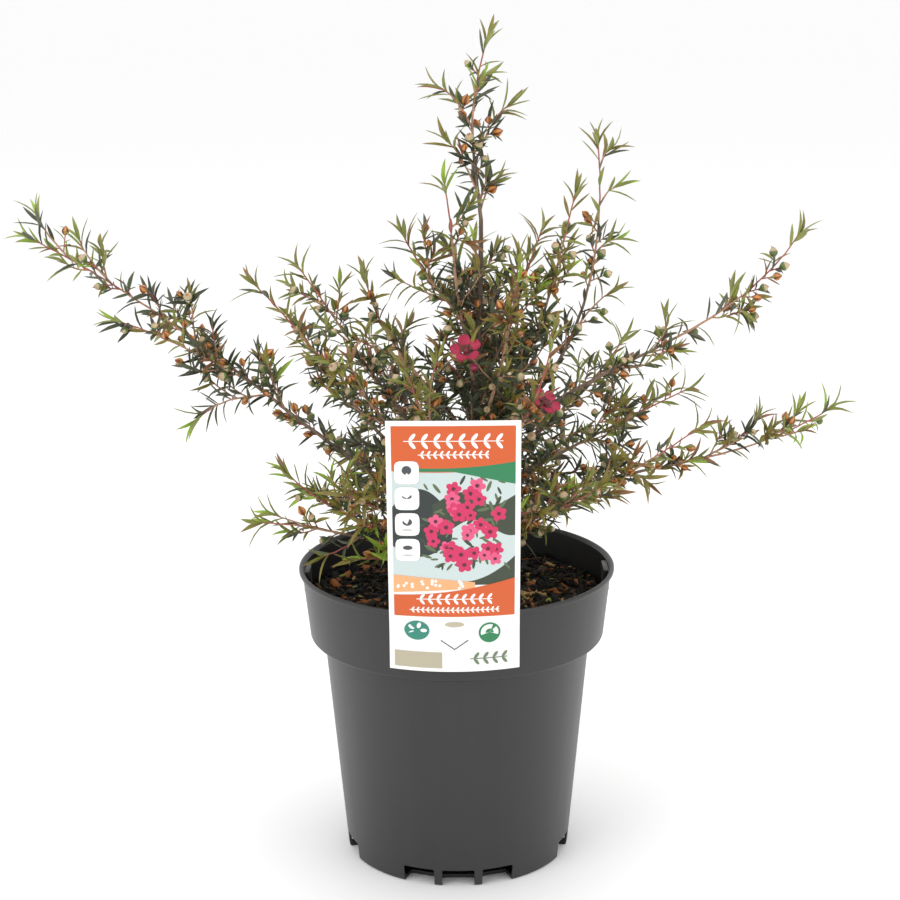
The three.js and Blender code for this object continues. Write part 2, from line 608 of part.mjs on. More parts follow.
// One mass of foliage: everything that grows on from one stem
class Mass {
  constructor(name, seed) {
    this.name = name;
    this.random = seeded(seed);
    this.bodies = [];
    this.face = 0;
    this.rods = [];
  }

  vary(share) {
    return 1 + share * (2 * this.random() - 1);
  }

  nextFace() {
    this.face += 1;
    return this.face * FACE_TURN + FACE_JITTER * (this.random() - 0.5);
  }

  // Free of every other piece, and past its root also of what has grown in this mass
  fits(root, tip, radius) {
    const pastRoot = root.clone().lerp(tip, ROOT_SHARE);
    return clearOfPot(pastRoot) && clearOfPot(tip)
      && isFree(this.name, root, tip, radius)
      && this.rods.every((rod) => segmentGap(pastRoot, tip, rod.from, rod.to) > radius + rod.radius);
  }

  keep(body, root, tip, radius) {
    this.bodies.push(body);
    this.rods.push({ from: root.clone().lerp(tip, ROOT_SHARE), to: tip, radius });
    take(this.name, root, tip, radius);
  }

  addStem(line, foot, tip) {
    this.bodies.push(limb(line, (share) => foot + (tip - foot) * share, TWIG_SIDES));
    takeLine(this.name, line, foot);
  }

  addLeaf(root, direction, scale) {
    const length = LEAF_LENGTH * scale;
    const tip = root.clone().addScaledVector(direction, length);
    if (!this.fits(root, tip, LEAF_ROOM)) return;
    const leaf = stand(blade(length + LEAF_SUNK), root, direction, LEAF_SUNK, this.random() - 0.5);
    this.keep(leaf, root, tip, LEAF_ROOM);
  }

  addBud(root, direction) {
    const tip = root.clone().addScaledVector(direction, BUD_LENGTH);
    if (!this.fits(root, tip, BUD_WIDTH / 2)) return;
    this.keep(stand(bud(), root, direction, LEAF_SUNK), root, tip, BUD_WIDTH / 2);
  }

  addBlossom(root, direction) {
    this.bodies.push(stand(blossomDisc(), root, direction, BLOSSOM_THICKNESS / 2));
    take(this.name, root, root.clone().addScaledVector(direction, BLOSSOM_THICKNESS), BLOSSOM_RADIUS);
  }

  // Leaves round a line from a share of it on, with buds between them and a tuft at the tip
  dress(line, from, tuft) {
    const { length } = line;
    const foot = from * length;
    for (let at = foot + LEAF_STEP / 2; at < length - LEAF_END; at += LEAF_STEP * this.vary(0.2)) {
      const heading = sideways(line.heading(at / length), this.nextFace(), LEAF_SPREAD);
      this.addLeaf(line.at(at / length), heading, this.vary(SIZE_RANGE));
    }
    for (let at = foot + BUD_STEP * this.random(); at < length - BUD_END; at += BUD_STEP * this.vary(0.3)) {
      const heading = sideways(line.heading(at / length), this.nextFace(), BUD_SPREAD);
      this.addBud(line.at(at / length), heading);
    }
    for (let i = 0; i < tuft; i += 1) {
      const share = 1 - (TIP_INSET + i * TIP_STEP) / length;
      const heading = sideways(line.heading(share), this.nextFace(), TIP_SPREAD);
      this.addLeaf(line.at(share), heading, this.vary(SIZE_RANGE));
    }
  }

  // Short leafy twigs along a line between two shares of it
  branch(line, from, to) {
    const { length } = line;
    for (let at = from * length + TWIG_STEP / 2; at < to * length; at += TWIG_STEP * this.vary(0.25)) {
      const root = line.at(at / length);
      const heading = sideways(line.heading(at / length), this.nextFace(), TWIG_SPREAD);
      heading.z += TWIG_LIFT;
      const tip = root.clone().addScaledVector(heading.normalize(), TWIG_LENGTH * this.vary(2 * SIZE_RANGE));
      if (this.fits(root, tip, TWIG_RADIUS)) {
        const twig = new StemLine(new THREE.LineCurve3(root, tip), 2 * TWIG_LENGTH);
        this.keep(limb(twig, () => TWIG_RADIUS, TWIG_SIDES), root, tip, TWIG_RADIUS);
        this.dress(twig, BARE_SIDE, TIP_LEAVES);
      }
    }
  }

  join() {
    return this.bodies.reduce((whole, body) => whole.add(body));
  }
}

const BARK = finish(0x7d6455, 0.85);
const FOLIAGE = [finish(0x4d5a3a, 0.6), finish(0x5d6b42, 0.6), finish(0x46523a, 0.6)];

const shrub = new THREE.Group();
shrub.add(makePot(), makeMix(), makeLabel());
shrub.add(named('trunk', trunkSolid(0), BARK));
for (let i = 1; i < TRUNK_HEIGHTS.length; i += 1) {
  const [from, to] = TRUNK_HEIGHTS.slice(i - 1, i + 1);
  take('trunk', trunkPoint(from), trunkPoint(to), trunkRadius(to));
}

// The trunk with room round it: boughs and masses that leave the trunk are cut clear of it
const trunkRoom = trunkSolid(TRUNK_ROOM);

// A bough, and the mass that starts a gap beyond its tip
function growShoot(shoot, index) {
  const curve = shootCurve(shoot);
  const whole = new StemLine(curve, RING_STEP);
  const { name, bough, radius = SHOOT_RADIUS } = shoot;
  const boughTip = radius + (STEM_TIP_RADIUS - radius) * bough;
  if (bough > 0) {
    const line = new StemLine(curve, BOUGH_STEP, 0, bough);
    const body = limb(line, (share) => radius + (boughTip - radius) * share, BOUGH_SIDES);
    shrub.add(named(`bough_${name}`, body.subtract(trunkRoom), BARK));
    takeLine(`bough_${name}`, line, radius);
  }
  const start = bough > 0 ? bough + CLEAR / whole.length : 0;
  const mass = new Mass(`mass_${name}`, FIRST_SEED + SEED_STEP * index);
  const end = shoot.blossom ? 1 : 1 - TIP_ROOM / whole.length;
  const stem = new StemLine(curve, RING_STEP, start, end);
  mass.addStem(stem, boughTip, STEM_TIP_RADIUS);
  const sides = shoot.sides.map(([share, ...way]) => sideLine(stem, (share - start) / (end - start), ...way));
  sides.forEach((side) => mass.addStem(side, SIDE_RADIUS, TWIG_RADIUS));
  return { shoot, stem, sides, mass };
}

// The leader: the trunk's tip carries on as the topmost mass
function growLeader() {
  const foot = trunkPoint(TRUNK_TOP);
  foot.z += CLEAR;
  const tip = new THREE.Vector3(LEADER_TIP.x, 0, LEADER_TIP.z);
  const curve = new THREE.CubicBezierCurve3(
    foot,
    foot.clone().add(new THREE.Vector3(-LEADER_BOW / 3, 0, LEADER_PULL)),
    tip.clone().add(new THREE.Vector3(-LEADER_BOW, 0, -LEADER_PULL)),
    tip,
  );
  const stem = new StemLine(curve, RING_STEP);
  const mass = new Mass('mass_leader', FIRST_SEED - SEED_STEP);
  mass.addStem(stem, TRUNK_TIP_RADIUS, STEM_TIP_RADIUS);
  const sides = LEADER_SIDES.map((side) => sideLine(stem, ...side));
  sides.forEach((side) => mass.addStem(side, SIDE_RADIUS, TWIG_RADIUS));
  return { shoot: { bough: 1 }, stem, sides, mass };
}

// Every bough and stem grows first, so that no twig or leaf takes its room
const grown = [growLeader(), ...SHOOTS.map(growShoot)];

grown.forEach(({ shoot, stem, sides, mass }, index) => {
  const onTrunk = shoot.bough === 0;
  if (shoot.blossom) mass.addBlossom(stem.at(1), compass(shoot.azimuth, BLOSSOM_SLOPE));
  const bare = onTrunk ? BARE_ON_TRUNK : 0;
  mass.dress(stem, bare, shoot.blossom ? 0 : TIP_LEAVES);
  sides.forEach((side) => mass.dress(side, BARE_SIDE, TIP_LEAVES));
  mass.branch(stem, bare, TWIGS_END);
  sides.forEach((side) => mass.branch(side, BARE_SIDE, TWIGS_END));
  const body = onTrunk ? mass.join().subtract(trunkRoom) : mass.join();
  shrub.add(named(mass.name, body, FOLIAGE[index % FOLIAGE.length]));
});

export default shrub;
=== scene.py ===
"""A potted tea tree shrub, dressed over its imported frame.

Metres, +Z up. The origin is the centre of the pot's flat underside and the front is -Y.
The pot, its mix, the label and the whole plant are modelled again here in full detail. The plant
grows by the seeded rule of the frame's masses, carried on to finer twigs within the same reach.
"""

from collections import namedtuple
from math import cos, exp, hypot, pi, radians, sin, sqrt, tan

import bpy
import numpy as np
from bpy.props import FloatProperty, FloatVectorProperty, IntProperty, PointerProperty
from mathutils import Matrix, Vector


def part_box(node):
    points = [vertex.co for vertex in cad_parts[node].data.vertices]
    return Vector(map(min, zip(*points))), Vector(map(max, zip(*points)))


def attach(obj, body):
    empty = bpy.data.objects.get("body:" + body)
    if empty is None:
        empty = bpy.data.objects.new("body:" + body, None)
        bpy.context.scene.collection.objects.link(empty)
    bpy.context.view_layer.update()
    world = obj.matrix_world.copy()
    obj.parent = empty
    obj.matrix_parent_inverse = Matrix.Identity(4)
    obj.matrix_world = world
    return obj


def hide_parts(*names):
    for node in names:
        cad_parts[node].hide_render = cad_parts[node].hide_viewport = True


bl_info = {
    "name": "Potted tea tree",
    "version": (1, 0, 0),
    "blender": (4, 5, 0),
    "location": "View3D > Sidebar > Tea Tree",
    "description": "Dresses a packed tea tree in its pot with plastic, card, bark and leaves",
    "category": "Object",
}

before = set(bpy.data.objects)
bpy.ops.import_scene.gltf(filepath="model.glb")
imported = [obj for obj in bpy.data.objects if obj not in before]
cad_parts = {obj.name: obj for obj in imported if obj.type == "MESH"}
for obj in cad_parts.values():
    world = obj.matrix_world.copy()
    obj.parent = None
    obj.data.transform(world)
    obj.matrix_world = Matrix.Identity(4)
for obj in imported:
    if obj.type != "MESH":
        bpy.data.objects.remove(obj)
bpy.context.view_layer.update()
POT_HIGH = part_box("pot")[1]
MIX_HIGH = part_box("potting_mix")[1]
LABEL_LOW, LABEL_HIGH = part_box("label")
LABEL_CENTRE = (LABEL_LOW.x + LABEL_HIGH.x) / 2
LABEL_LEAN = 8

MM = 0.001
UP = Vector((0, 0, 1))


def tint(red, green, blue):
    """A colour given as 0 to 255, as the linear values that Blender keeps."""
    levels = (value / 255 for value in (red, green, blue))
    return tuple(v / 12.92 if v < 0.04045 else ((v + 0.055) / 1.055) ** 2.4 for v in levels)


def length_property(name, text, default):
    return FloatProperty(
        name=name, description=text, default=default, min=0, precision=5,
        unit="LENGTH", subtype="DISTANCE")


def angle_property(name, text, default):
    return FloatProperty(
        name=name, description=text, default=radians(default), unit="ROTATION", subtype="ANGLE")


def colour_property(name, text, default):
    return FloatVectorProperty(
        name=name, description=text, default=tint(*default), size=3, min=0, max=1, subtype="COLOR")


class PotSettings(bpy.types.PropertyGroup):
    """Sizes and colours of the pot and the mix in it"""

    rim_radius: length_property("Rim radius", "Outer radius of the beaded rim", POT_HIGH.x)
    height: length_property("Height", "Height of the pot over its underside", POT_HIGH.z)
    collar: length_property("Collar", "Height of the wide collar under the rim", 45 * MM)
    wall: length_property("Wall", "Thickness of the moulded wall", 1.4 * MM)
    mix_top: length_property("Mix level", "Height of the mix at the wall", 169.5 * MM)
    plastic: colour_property("Plastic", "Charcoal of the moulded pot", (36, 35, 35))
    mix: colour_property("Mix", "Damp potting mix", (24, 19, 15))
    chips: IntProperty(name="Chips", description="Number of bark chips on the mix", default=3600, min=1)


class LabelSettings(bpy.types.PropertyGroup):
    """Sizes and colours of the plant label"""

    width: length_property("Width", "Width of the card", 76 * MM)
    card: length_property("Thickness", "Thickness of the card", 0.5 * MM)
    lean: angle_property("Lean", "How far the card leans forward above the rim", LABEL_LEAN)
    paper: colour_property("Card", "White of the card", (243, 243, 240))
    band: colour_property("Bands", "Orange of the printed bands", (206, 88, 28))
    wedge: colour_property("Wedge", "Green of the printed wedge", (34, 124, 78))
    petal: colour_property("Printed petals", "Pink of the printed flowers", (204, 36, 92))


class PlantSettings(bpy.types.PropertyGroup):
    """Sizes, counts and colours of the plant"""

    seed: IntProperty(name="Seed", description="First seed of the growth rule", default=4001, min=1)
    leaf_length: length_property("Leaf", "Length of a grown leaf", 14 * MM)
    leaf_width: length_property("Leaf width", "Width of a grown leaf laid flat", 2.9 * MM)
    node_step: length_property("Node step", "Distance between nodes along a stem", 3.1 * MM)
    spur_length: length_property("Spur", "Length of the short shoots that bear buds", 6.5 * MM)
    twig_length: length_property("Twig", "Length of the leafy twigs", 27 * MM)
    bud_length: length_property("Bud", "Length of a bud with its cup", 6 * MM)
    petal_length: length_property("Petal", "Length of a petal", 8 * MM)
    bark: colour_property("Bark", "Grey-brown bark of trunk and boughs", (106, 92, 80))
    leaf: colour_property("Leaf colour", "Dark green of grown leaves", (62, 72, 42))
    young: colour_property("Young leaves", "Yellow green of the youngest leaves", (137, 166, 48))
    petal: colour_property("Petals", "Crimson of the open flowers", (158, 2, 56))


class StageSettings(bpy.types.PropertyGroup):
    """Camera, light and floor"""

    distance: length_property("Distance", "Camera distance from the point it looks at", 1205.6 * MM)
    elevation: angle_property("Elevation", "Camera angle over the horizon", 14.62)
    roll: angle_property("Roll", "Camera turn about its own line of sight", 0.38)
    lens: FloatProperty(name="Lens", description="Focal length in millimetres", default=77.5, min=1)
    key_power: FloatProperty(name="Key light", description="Power of the key light", default=16,
                             unit="POWER")
    floor: colour_property("Floor", "Pale floor", (252, 252, 252))


# Shader maths: a socket that adds Math nodes when it is used in an expression


class Value:
    """A socket of a finish, ready for arithmetic."""

    def __init__(self, finish, socket):
        self.finish = finish
        self.socket = socket

    def maths(self, operation, first, second):
        return self.finish.node("ShaderNodeMath", {"operation": operation}, {0: first, 1: second})

    def __add__(self, other):
        return self.maths("ADD", self, other)

    def __radd__(self, other):
        return self.maths("ADD", other, self)

    def __mul__(self, other):
        return self.maths("MULTIPLY", self, other)

    def __rmul__(self, other):
        return self.maths("MULTIPLY", other, self)


class Finish:
    """A material: plain values on its shader, and nodes for what varies over the surface."""

    def __init__(self, name, colour, roughness, **plain):
        colour = (*colour, 1)
        self.material = bpy.data.materials.new(name)
        self.material.use_nodes = True
        self.material.diffuse_color = colour
        self.tree = self.material.node_tree
        self.shader = self.tree.nodes["Principled BSDF"]
        self.shader.inputs["Base Color"].default_value = colour
        self.shader.inputs["Roughness"].default_value = roughness
        for socket, value in plain.items():
            self.shader.inputs[socket.replace("_", " ").title()].default_value = value
        self.place = self.node("ShaderNodeTexCoord", output="Object")

    def node(self, kind, settings=None, values=None, output=0):
        made = self.tree.nodes.new(kind)
        for key, value in (settings or {}).items():
            if key == "stops":
                self.set_stops(made.color_ramp, value)
            else:
                setattr(made, key, value)
        for key, value in (values or {}).items():
            if isinstance(value, Value):
                self.tree.links.new(value.socket, made.inputs[key])
            else:
                made.inputs[key].default_value = value
        return Value(self, made.outputs[output])

    @staticmethod
    def set_stops(ramp, stops):
        while len(ramp.elements) < len(stops):
            ramp.elements.new(1)
        for element, (place, level) in zip(ramp.elements, stops):
            element.position = place
            element.color = (level, level, level, 1)

    def noise(self, scale, stretch=(1, 1, 1), detail=3, rough=0.5):
        place = self.node("ShaderNodeMapping", values={"Vector": self.place, "Scale": stretch})
        values = {"Vector": place, "Scale": scale, "Detail": detail, "Roughness": rough}
        return self.node("ShaderNodeTexNoise", values=values)

    def step(self, value, low, high):
        stops = [(low, 0), (high, 1)]
        return self.node("ShaderNodeValToRGB", {"stops": stops}, {"Fac": value})

    def blend(self, share, first, second):
        values = {0: share, 6: first, 7: second}
        return self.node("ShaderNodeMix", {"data_type": "RGBA"}, values, output=2)

    def drive(self, socket, value):
        self.tree.links.new(value.socket, self.shader.inputs[socket])

    def relief(self, height, strength, depth):
        values = {"Height": height, "Strength": strength, "Distance": depth}
        self.drive("Normal", self.node("ShaderNodeBump", values=values))


def shade(colour, factor):
    """A colour made darker or lighter, with its alpha."""
    return (*(min(1.0, level * factor) for level in colour[:3]), 1)


def plastic_finish(name, colour):
    """Charcoal moulded plastic: a soft sheen, faint streaks and a little dust."""
    finish = Finish(name, colour, 0.42, coat_weight=0.12, coat_roughness=0.3)
    streaks = finish.noise(60, (1, 1, 0.12), detail=5)
    dust = finish.noise(240, detail=6, rough=0.7)
    worn = finish.blend(finish.step(streaks, 0.35, 0.75), shade(colour, 0.86), shade(colour, 1.16))
    specks = finish.step(dust, 0.66, 0.8)
    finish.drive("Base Color", finish.blend(specks * 0.35, worn, shade(colour, 2.4)))
    finish.drive("Roughness", 0.36 + 0.14 * streaks + 0.1 * specks)
    finish.relief(finish.noise(900, detail=4) + 0.4 * streaks, 0.12, 0.2 * MM)
    return finish.material


def mix_finish(name, colour, scale):
    """Damp bark and peat: crumbly and uneven in tone."""
    finish = Finish(name, colour, 0.85)
    finish.shader.inputs["Specular IOR Level"].default_value = 0.22
    grain = finish.noise(scale, detail=8, rough=0.7)
    finish.drive("Base Color", finish.blend(grain, shade(colour, 0.45), shade(colour, 1.7)))
    finish.drive("Roughness", 0.62 + 0.3 * grain)
    finish.relief(grain, 0.7, 1.2 * MM)
    return finish.material


def card_finish(name, colour):
    """Printed card: smooth, with a faint fibre and a soft coat."""
    finish = Finish(name, colour, 0.4, coat_weight=0.12, coat_roughness=0.25)
    fibre = finish.noise(1500, detail=2)
    finish.drive("Base Color", finish.blend(fibre, shade(colour, 0.97), shade(colour, 1.03)))
    finish.drive("Roughness", 0.34 + 0.12 * fibre)
    return finish.material


def bark_finish(name, colour, scale, dark):
    """Bark: long fibres, furrows darkened with painted shade, and pale flakes."""
    finish = Finish(name, colour, 0.85)
    fibres = finish.noise(scale, (1, 1, 0.14), detail=6, rough=0.65)
    flakes = finish.noise(scale * 0.6, (1, 1, 0.4), detail=3)
    # dark is the share of light left in the furrows: painted shade.
    base = finish.blend(finish.step(fibres, 0.35, 0.65), shade(colour, dark), shade(colour, 1.3))
    pale = finish.step(flakes, 0.58, 0.7)
    finish.drive("Base Color", finish.blend(pale * 0.5, base, shade(colour, 1.9)))
    finish.drive("Roughness", 0.7 + 0.25 * fibres)
    finish.relief(fibres + 0.5 * flakes, 0.6, 0.5 * MM)
    return finish.material


def leaf_finish(name, colour, roughness=0.5):
    """Leaf skin: a soft sheen over a base colour that varies a little."""
    finish = Finish(name, colour, roughness, coat_weight=0.1, coat_roughness=0.35)
    mottle = finish.noise(120, detail=4)
    lights = finish.step(mottle, 0.3, 0.7)
    finish.drive("Base Color", finish.blend(lights, shade(colour, 0.78), shade(colour, 1.22)))
    finish.drive("Roughness", roughness - 0.08 + 0.16 * mottle)
    finish.relief(finish.noise(1400, detail=2), 0.15, 0.1 * MM)
    return finish.material


# Meshes from arrays


class Sheaf:
    """Corners and faces gathered for one joined mesh, each face with the number of its finish."""

    def __init__(self):
        self.corners = []
        self.faces = {3: [], 4: []}
        self.tints = {3: [], 4: []}
        self.count = 0

    def add(self, corners, faces, tints):
        """faces holds arrays of 3 or 4 corner numbers a row; tints has one number a face."""
        corners = np.asarray(corners, float).reshape(-1, 3)
        for rows, marks in zip(faces, tints):
            rows = np.asarray(rows, int)
            sides = rows.shape[1]
            self.faces[sides].append(rows + self.count)
            self.tints[sides].append(np.broadcast_to(marks, len(rows)))
        self.corners.append(corners)
        self.count += len(corners)

    def piece(self, name, materials, sharp=None):
        mesh = bpy.data.meshes.new(name)
        corners = np.concatenate(self.corners)
        groups = [(sides, np.concatenate(rows)) for sides, rows in self.faces.items() if rows]
        marks = np.concatenate([np.concatenate(self.tints[sides]) for sides, rows in groups])
        loops = np.concatenate([rows.ravel() for sides, rows in groups])
        sizes = np.concatenate([np.full(len(rows), sides) for sides, rows in groups])
        mesh.vertices.add(len(corners))
        mesh.vertices.foreach_set("co", corners.astype(np.float32).ravel())
        mesh.loops.add(len(loops))
        mesh.loops.foreach_set("vertex_index", loops.astype(np.int32))
        mesh.polygons.add(len(sizes))
        mesh.polygons.foreach_set("loop_start", (np.cumsum(sizes) - sizes).astype(np.int32))
        mesh.polygons.foreach_set("material_index", marks.astype(np.int32))
        mesh.update(calc_edges=True)
        mesh.validate()
        for material in materials:
            mesh.materials.append(material)
        if sharp is not None:
            mesh.polygons.foreach_set("use_smooth", np.ones(len(sizes), bool))
            mesh.set_sharp_from_angle(angle=sharp)
        made = bpy.data.objects.new(name, mesh)
        bpy.context.collection.objects.link(made)
        return made


def settle(piece, slot, *nodes):
    """The piece rides on the one body and stands for its nodes; its slot is not used."""
    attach(piece, "root")
    if nodes:
        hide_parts(*nodes)


def grid_faces(rows, columns):
    """Quads of a grid of corners."""
    row, column = np.meshgrid(np.arange(rows - 1), np.arange(columns - 1), indexing="ij")
    here = (row * columns + column).ravel()
    return np.stack([here, here + 1, here + columns + 1, here + columns], axis=1)


def ring_faces(rings, sides):
    """Quads between closed rings of corners."""
    ring, side = np.meshgrid(np.arange(rings - 1), np.arange(sides), indexing="ij")
    here = (ring * sides + side).ravel()
    beside = (ring * sides + (side + 1) % sides).ravel()
    return np.stack([here, beside, beside + sides, here + sides], axis=1)


def fan(centre, ring, outward=True):
    """Triangles from one corner to a closed ring of corners."""
    ahead = np.roll(ring, -1)
    order = [ahead, ring] if outward else [ring, ahead]
    return np.stack([np.full(len(ring), centre), *order], axis=1)


def tube(sheaf, points, radii, sides, ring_tints, relief=None):
    """A closed tube round a line of points, with a rounded foot and tip and a tint for each ring."""
    points = np.asarray([tuple(point) for point in points])
    radii = np.broadcast_to(radii, len(points))
    along = np.gradient(points, axis=0)
    along /= np.linalg.norm(along, axis=1)[:, None]
    side = np.cross(along[0], (0.31, 0.22, 0.93))
    corners = []
    for ring, (point, radius) in enumerate(zip(points, radii)):
        side = side - along[ring] * (side @ along[ring])
        side /= np.linalg.norm(side)
        over = np.cross(along[ring], side)
        turn = 2 * pi * np.arange(sides) / sides
        reach = np.full(sides, radius) if relief is None else radius * relief(ring, turn)
        ring_of = np.outer(reach * np.cos(turn), side) + np.outer(reach * np.sin(turn), over)
        corners.append(point + ring_of)
    count = len(points)
    foot = points[0] - along[0] * radii[0] * 0.4
    tip = points[-1] + along[-1] * radii[-1] * 0.8
    corners = np.concatenate([*corners, [foot, tip]])
    first = np.arange(sides)
    last = first + (count - 1) * sides
    walls = ring_faces(count, sides)
    marks = np.repeat(np.broadcast_to(ring_tints, count)[:-1], sides)
    ends = np.concatenate([fan(count * sides, first), fan(count * sides + 1, last, False)])
    end_marks = np.repeat([marks[0], marks[-1]], sides)
    sheaf.add(corners, [walls, ends], [marks, end_marks])


# The growth rule of the frame's masses


Shoot = namedtuple(
    "Shoot", "name foot azimuth reach tip start end bough sides radius blossom", defaults=(1.7, False))

# One row for each shoot from the trunk, in millimetres and degrees: height of its foot on the trunk,
# compass of its heading from +X, how far out and how high its last leaves lie, its slope at both ends,
# the share of it that is bare bough, its side shoots as (share, azimuth, slope, length), its radius at
# the foot where that isn't 1.7, and whether it ends in an open flower
SHOOTS = (
    Shoot("left_limb", 209, 186, 265, 405, 33, 28, 0.3,
          ((0.42, 261, 70, 34), (0.45, 207, -12, 60), (0.48, 200, 29, 108), (0.8, 178, 56, 44),
           (0.88, 182, 55, 46)), radius=2.5),
    Shoot("left_rise", 228, 174, 138, 373, 30, 42, 0.32, ((0.55, 150, 49, 55),)),
    Shoot("left_spray", 242, 158, 120, 379, 38, 50, 0.32, ((0.6, 140, 20, 40),)),
    Shoot("left_front", 222, 204, 110, 342, 42, 30, 0.3, ((0.6, 230, 60, 44),)),
    Shoot("left_upright", 268, 149, 78, 378, 48, 86, 0, ((0.5, 70, 61, 31),)),
    Shoot("left_front_upright", 238, 239, 74, 340, 50, 70, 0, ((0.5, 330, 82, 55),)),
    Shoot("leader_left", 336, 186, 50, 408, 45, 66, 0, ((0.5, 300, 70, 28),)),
    Shoot("leader_near", 318, 225, 30, 441, 60, 70, 0, ((0.6, 318, 20, 24),)),
    Shoot("leader_far", 352, 121, 35, 390, 60, 70, 0, ()),
    Shoot("centre_front", 245, 303, 53, 402, 68, 88, 0, ((0.6, 263, 43, 36),)),
    Shoot("centre_right", 300, 354, 44, 410, 55, 65, 0, ((0.5, 117, 61, 29),)),
    Shoot("right_inner", 270, 349, 65, 435, 50, 76, 0.25, ((0.55, 306, 60, 34),)),
    Shoot("right_tall", 262, 15, 78, 463, 28, 98, 0.28,
          ((0.42, 350, 48, 48), (0.64, 10, 35, 28), (0.77, 2, 48, 28), (0.87, 346, 60, 26))),
    Shoot("right_front", 215, 307, 87, 362, 56, 82, 0, ()),
    Shoot("right_arm", 244, 7, 212, 403, 52, 62, 0.3,
          ((0.5, 12, 5, 30), (0.52, 23, 65, 32), (0.7, 41, 50, 26), (0.72, 350, -20, 22)), radius=2.1),
    Shoot("right_short", 228, 18, 160, 293, 22, 20, 0.3, ((0.5, 46, 55, 60), (0.72, 40, 20, 30))),
    Shoot("right_low_inner", 210, 351, 155, 289, 12, 38, 0.3, ((0.6, 319, -2, 30), (0.5, 0, 60, 34))),
    Shoot("right_low", 200, 1, 239, 294, 40, 38, 0.3,
          ((0.5, 340, 20, 40), (0.62, 9, 35, 54), (0.78, 13, 41, 38)), radius=2.1),
    Shoot("right_foot", 193, 336, 111, 246, 12, 4, 0, ((0.55, 350, 50, 34),)),
    Shoot("right_drop", 200, 309, 84, 238, 18, -6, 0, ()),
    Shoot("left_foot", 202, 193, 116, 265, 12, 55, 0, ((0.5, 255, 70, 50), (0.62, 165, 30, 34))),
    Shoot("left_low", 193, 197, 138, 227, 10, 3, 0.3, ((0.6, 193, 21, 50),)),
    Shoot("left_drop", 186, 214, 89, 205, 8, 0, 0, ((0.5, 250, 34, 38),)),
    Shoot("front_bloom", 300, 263, 46, 334, 38, 34, 0, (), blossom=True),
    Shoot("right_bloom", 268, 310, 66, 303, 30, 24, 0, (), blossom=True),
    Shoot("left_near", 216, 224, 108, 262, 18, 40, 0, ((0.55, 250, 50, 36), (0.6, 195, 40, 34))),
    Shoot("right_near", 208, 322, 112, 262, 16, 36, 0, ((0.5, 300, 60, 34), (0.6, 350, 45, 38))),
    Shoot("back_right", 234, 42, 150, 322, 28, 46, 0.3, ((0.55, 70, 40, 46), (0.7, 25, 30, 30))),
    Shoot("back_limb", 218, 78, 178, 300, 24, 34, 0.3,
          ((0.5, 100, 40, 50), (0.65, 55, 30, 40), (0.8, 95, 45, 30)), radius=2.1),
    Shoot("back_left", 230, 116, 158, 318, 30, 44, 0.3, ((0.5, 95, 50, 44), (0.68, 140, 30, 36))),
    Shoot("back_upright", 280, 88, 74, 392, 44, 78, 0.28, ((0.5, 60, 50, 36), (0.65, 120, 40, 30))),
    Shoot("back_low_right", 206, 54, 126, 246, 16, 22, 0.28, ((0.55, 30, 40, 36),)),
    Shoot("back_low_left", 204, 134, 132, 250, 16, 26, 0.28, ((0.55, 160, 40, 38), (0.6, 110, 30, 30))),
    Shoot("back_near", 212, 98, 102, 228, 12, 8, 0, ((0.6, 80, 40, 30),)),
)

LEADER = Shoot("leader", 405, 0, 0, 512, 90, 90, 0,
               ((0.04, 18, 62, 34), (0.14, 195, 60, 50), (0.3, 10, 60, 54), (0.5, 189, 52, 44),
                (0.6, 80, 45, 24), (0.76, 24, 45, 18)))
LEADER_TIP_X = 20
LEADER_BOW = 14
LEADER_PULL = 45

# Limbs and stems, in millimetres: the trunk from its flat foot to its tip, the pull of a shoot's ends on
# its curve as a share of its reach, radii where boughs and stems end, and the room for a tip's leaves
TRUNK_FOOT = 170.3
TRUNK_TOP = 405
TRUNK_LEAN = 16
TRUNK_RADIUS = 4.6
TRUNK_TIP_RADIUS = 1.25
TRUNK_TAPER = 0.8
FLARE_RADIUS = 3.2
FLARE_HEIGHT = 14
BOUGH_PULL = 0.38
BOUGH_END = 1.25
STEM_TIP_RADIUS = 0.42
SIDE_RADIUS = 0.72
TIP_ROOM = 13
STEM_STEP = 5 * MM
STEM_WOBBLE = 0.22 * MM
SIDE_WOBBLE = 0.2 * MM
BARK_STEP = 1.5 * MM
SEED_STEP = 77

# How thickly a shoot bears leaves at its foot and at its tip, and how young its growth looks, where it
# isn't as the others are; a youth over 1 is nearly all lime
DENSITY = {"left_limb": (1, 0.8), "leader": (0.66, 0.5), "right_tall": (0.85, 0.34),
           "right_arm": (0.85, 0.46), "right_low": (0.75, 0.36), "leader_near": (0.95, 0.5),
           "right_low_inner": (0.85, 0.5), "left_rise": (0.95, 0.6), "left_drop": (0.6, 0.6),
           "left_low": (0.7, 0.45), "right_drop": (0.6, 0.4), "right_foot": (0.8, 0.6)}
USUAL_DENSITY = (1, 0.75)
YOUTH = {"left_limb": 0.3, "left_drop": 1.2, "left_low": 0.95, "left_foot": 0.8, "leader": 0.4,
         "right_arm": 0.8, "right_low": 0.85, "left_rise": 0.8, "left_upright": 0.85, "left_spray": 0.75,
         "right_low_inner": 0.8, "right_short": 0.8}
USUAL_YOUTH = 0.82

# Twigs on the trunk itself fill the middle of the crown between these heights
TRUNK_TWIGS = (232, 352)
TRUNK_TWIG_STEP = 3.4

# Numbers of the leaf finishes, from old to young, and of the stem and bud finishes
DARK, GREY, GREEN, OLIVE, LIME, BRONZE, UNDER, YOUNG_UNDER = range(8)
BARK, TWIG, RED_TWIG = range(3)
CUP, DOME, DOME_TIP, TIP_BROWN, HUSK, HUSK_STREAK_AND_HIGHLIGHT, PINK = range(7)

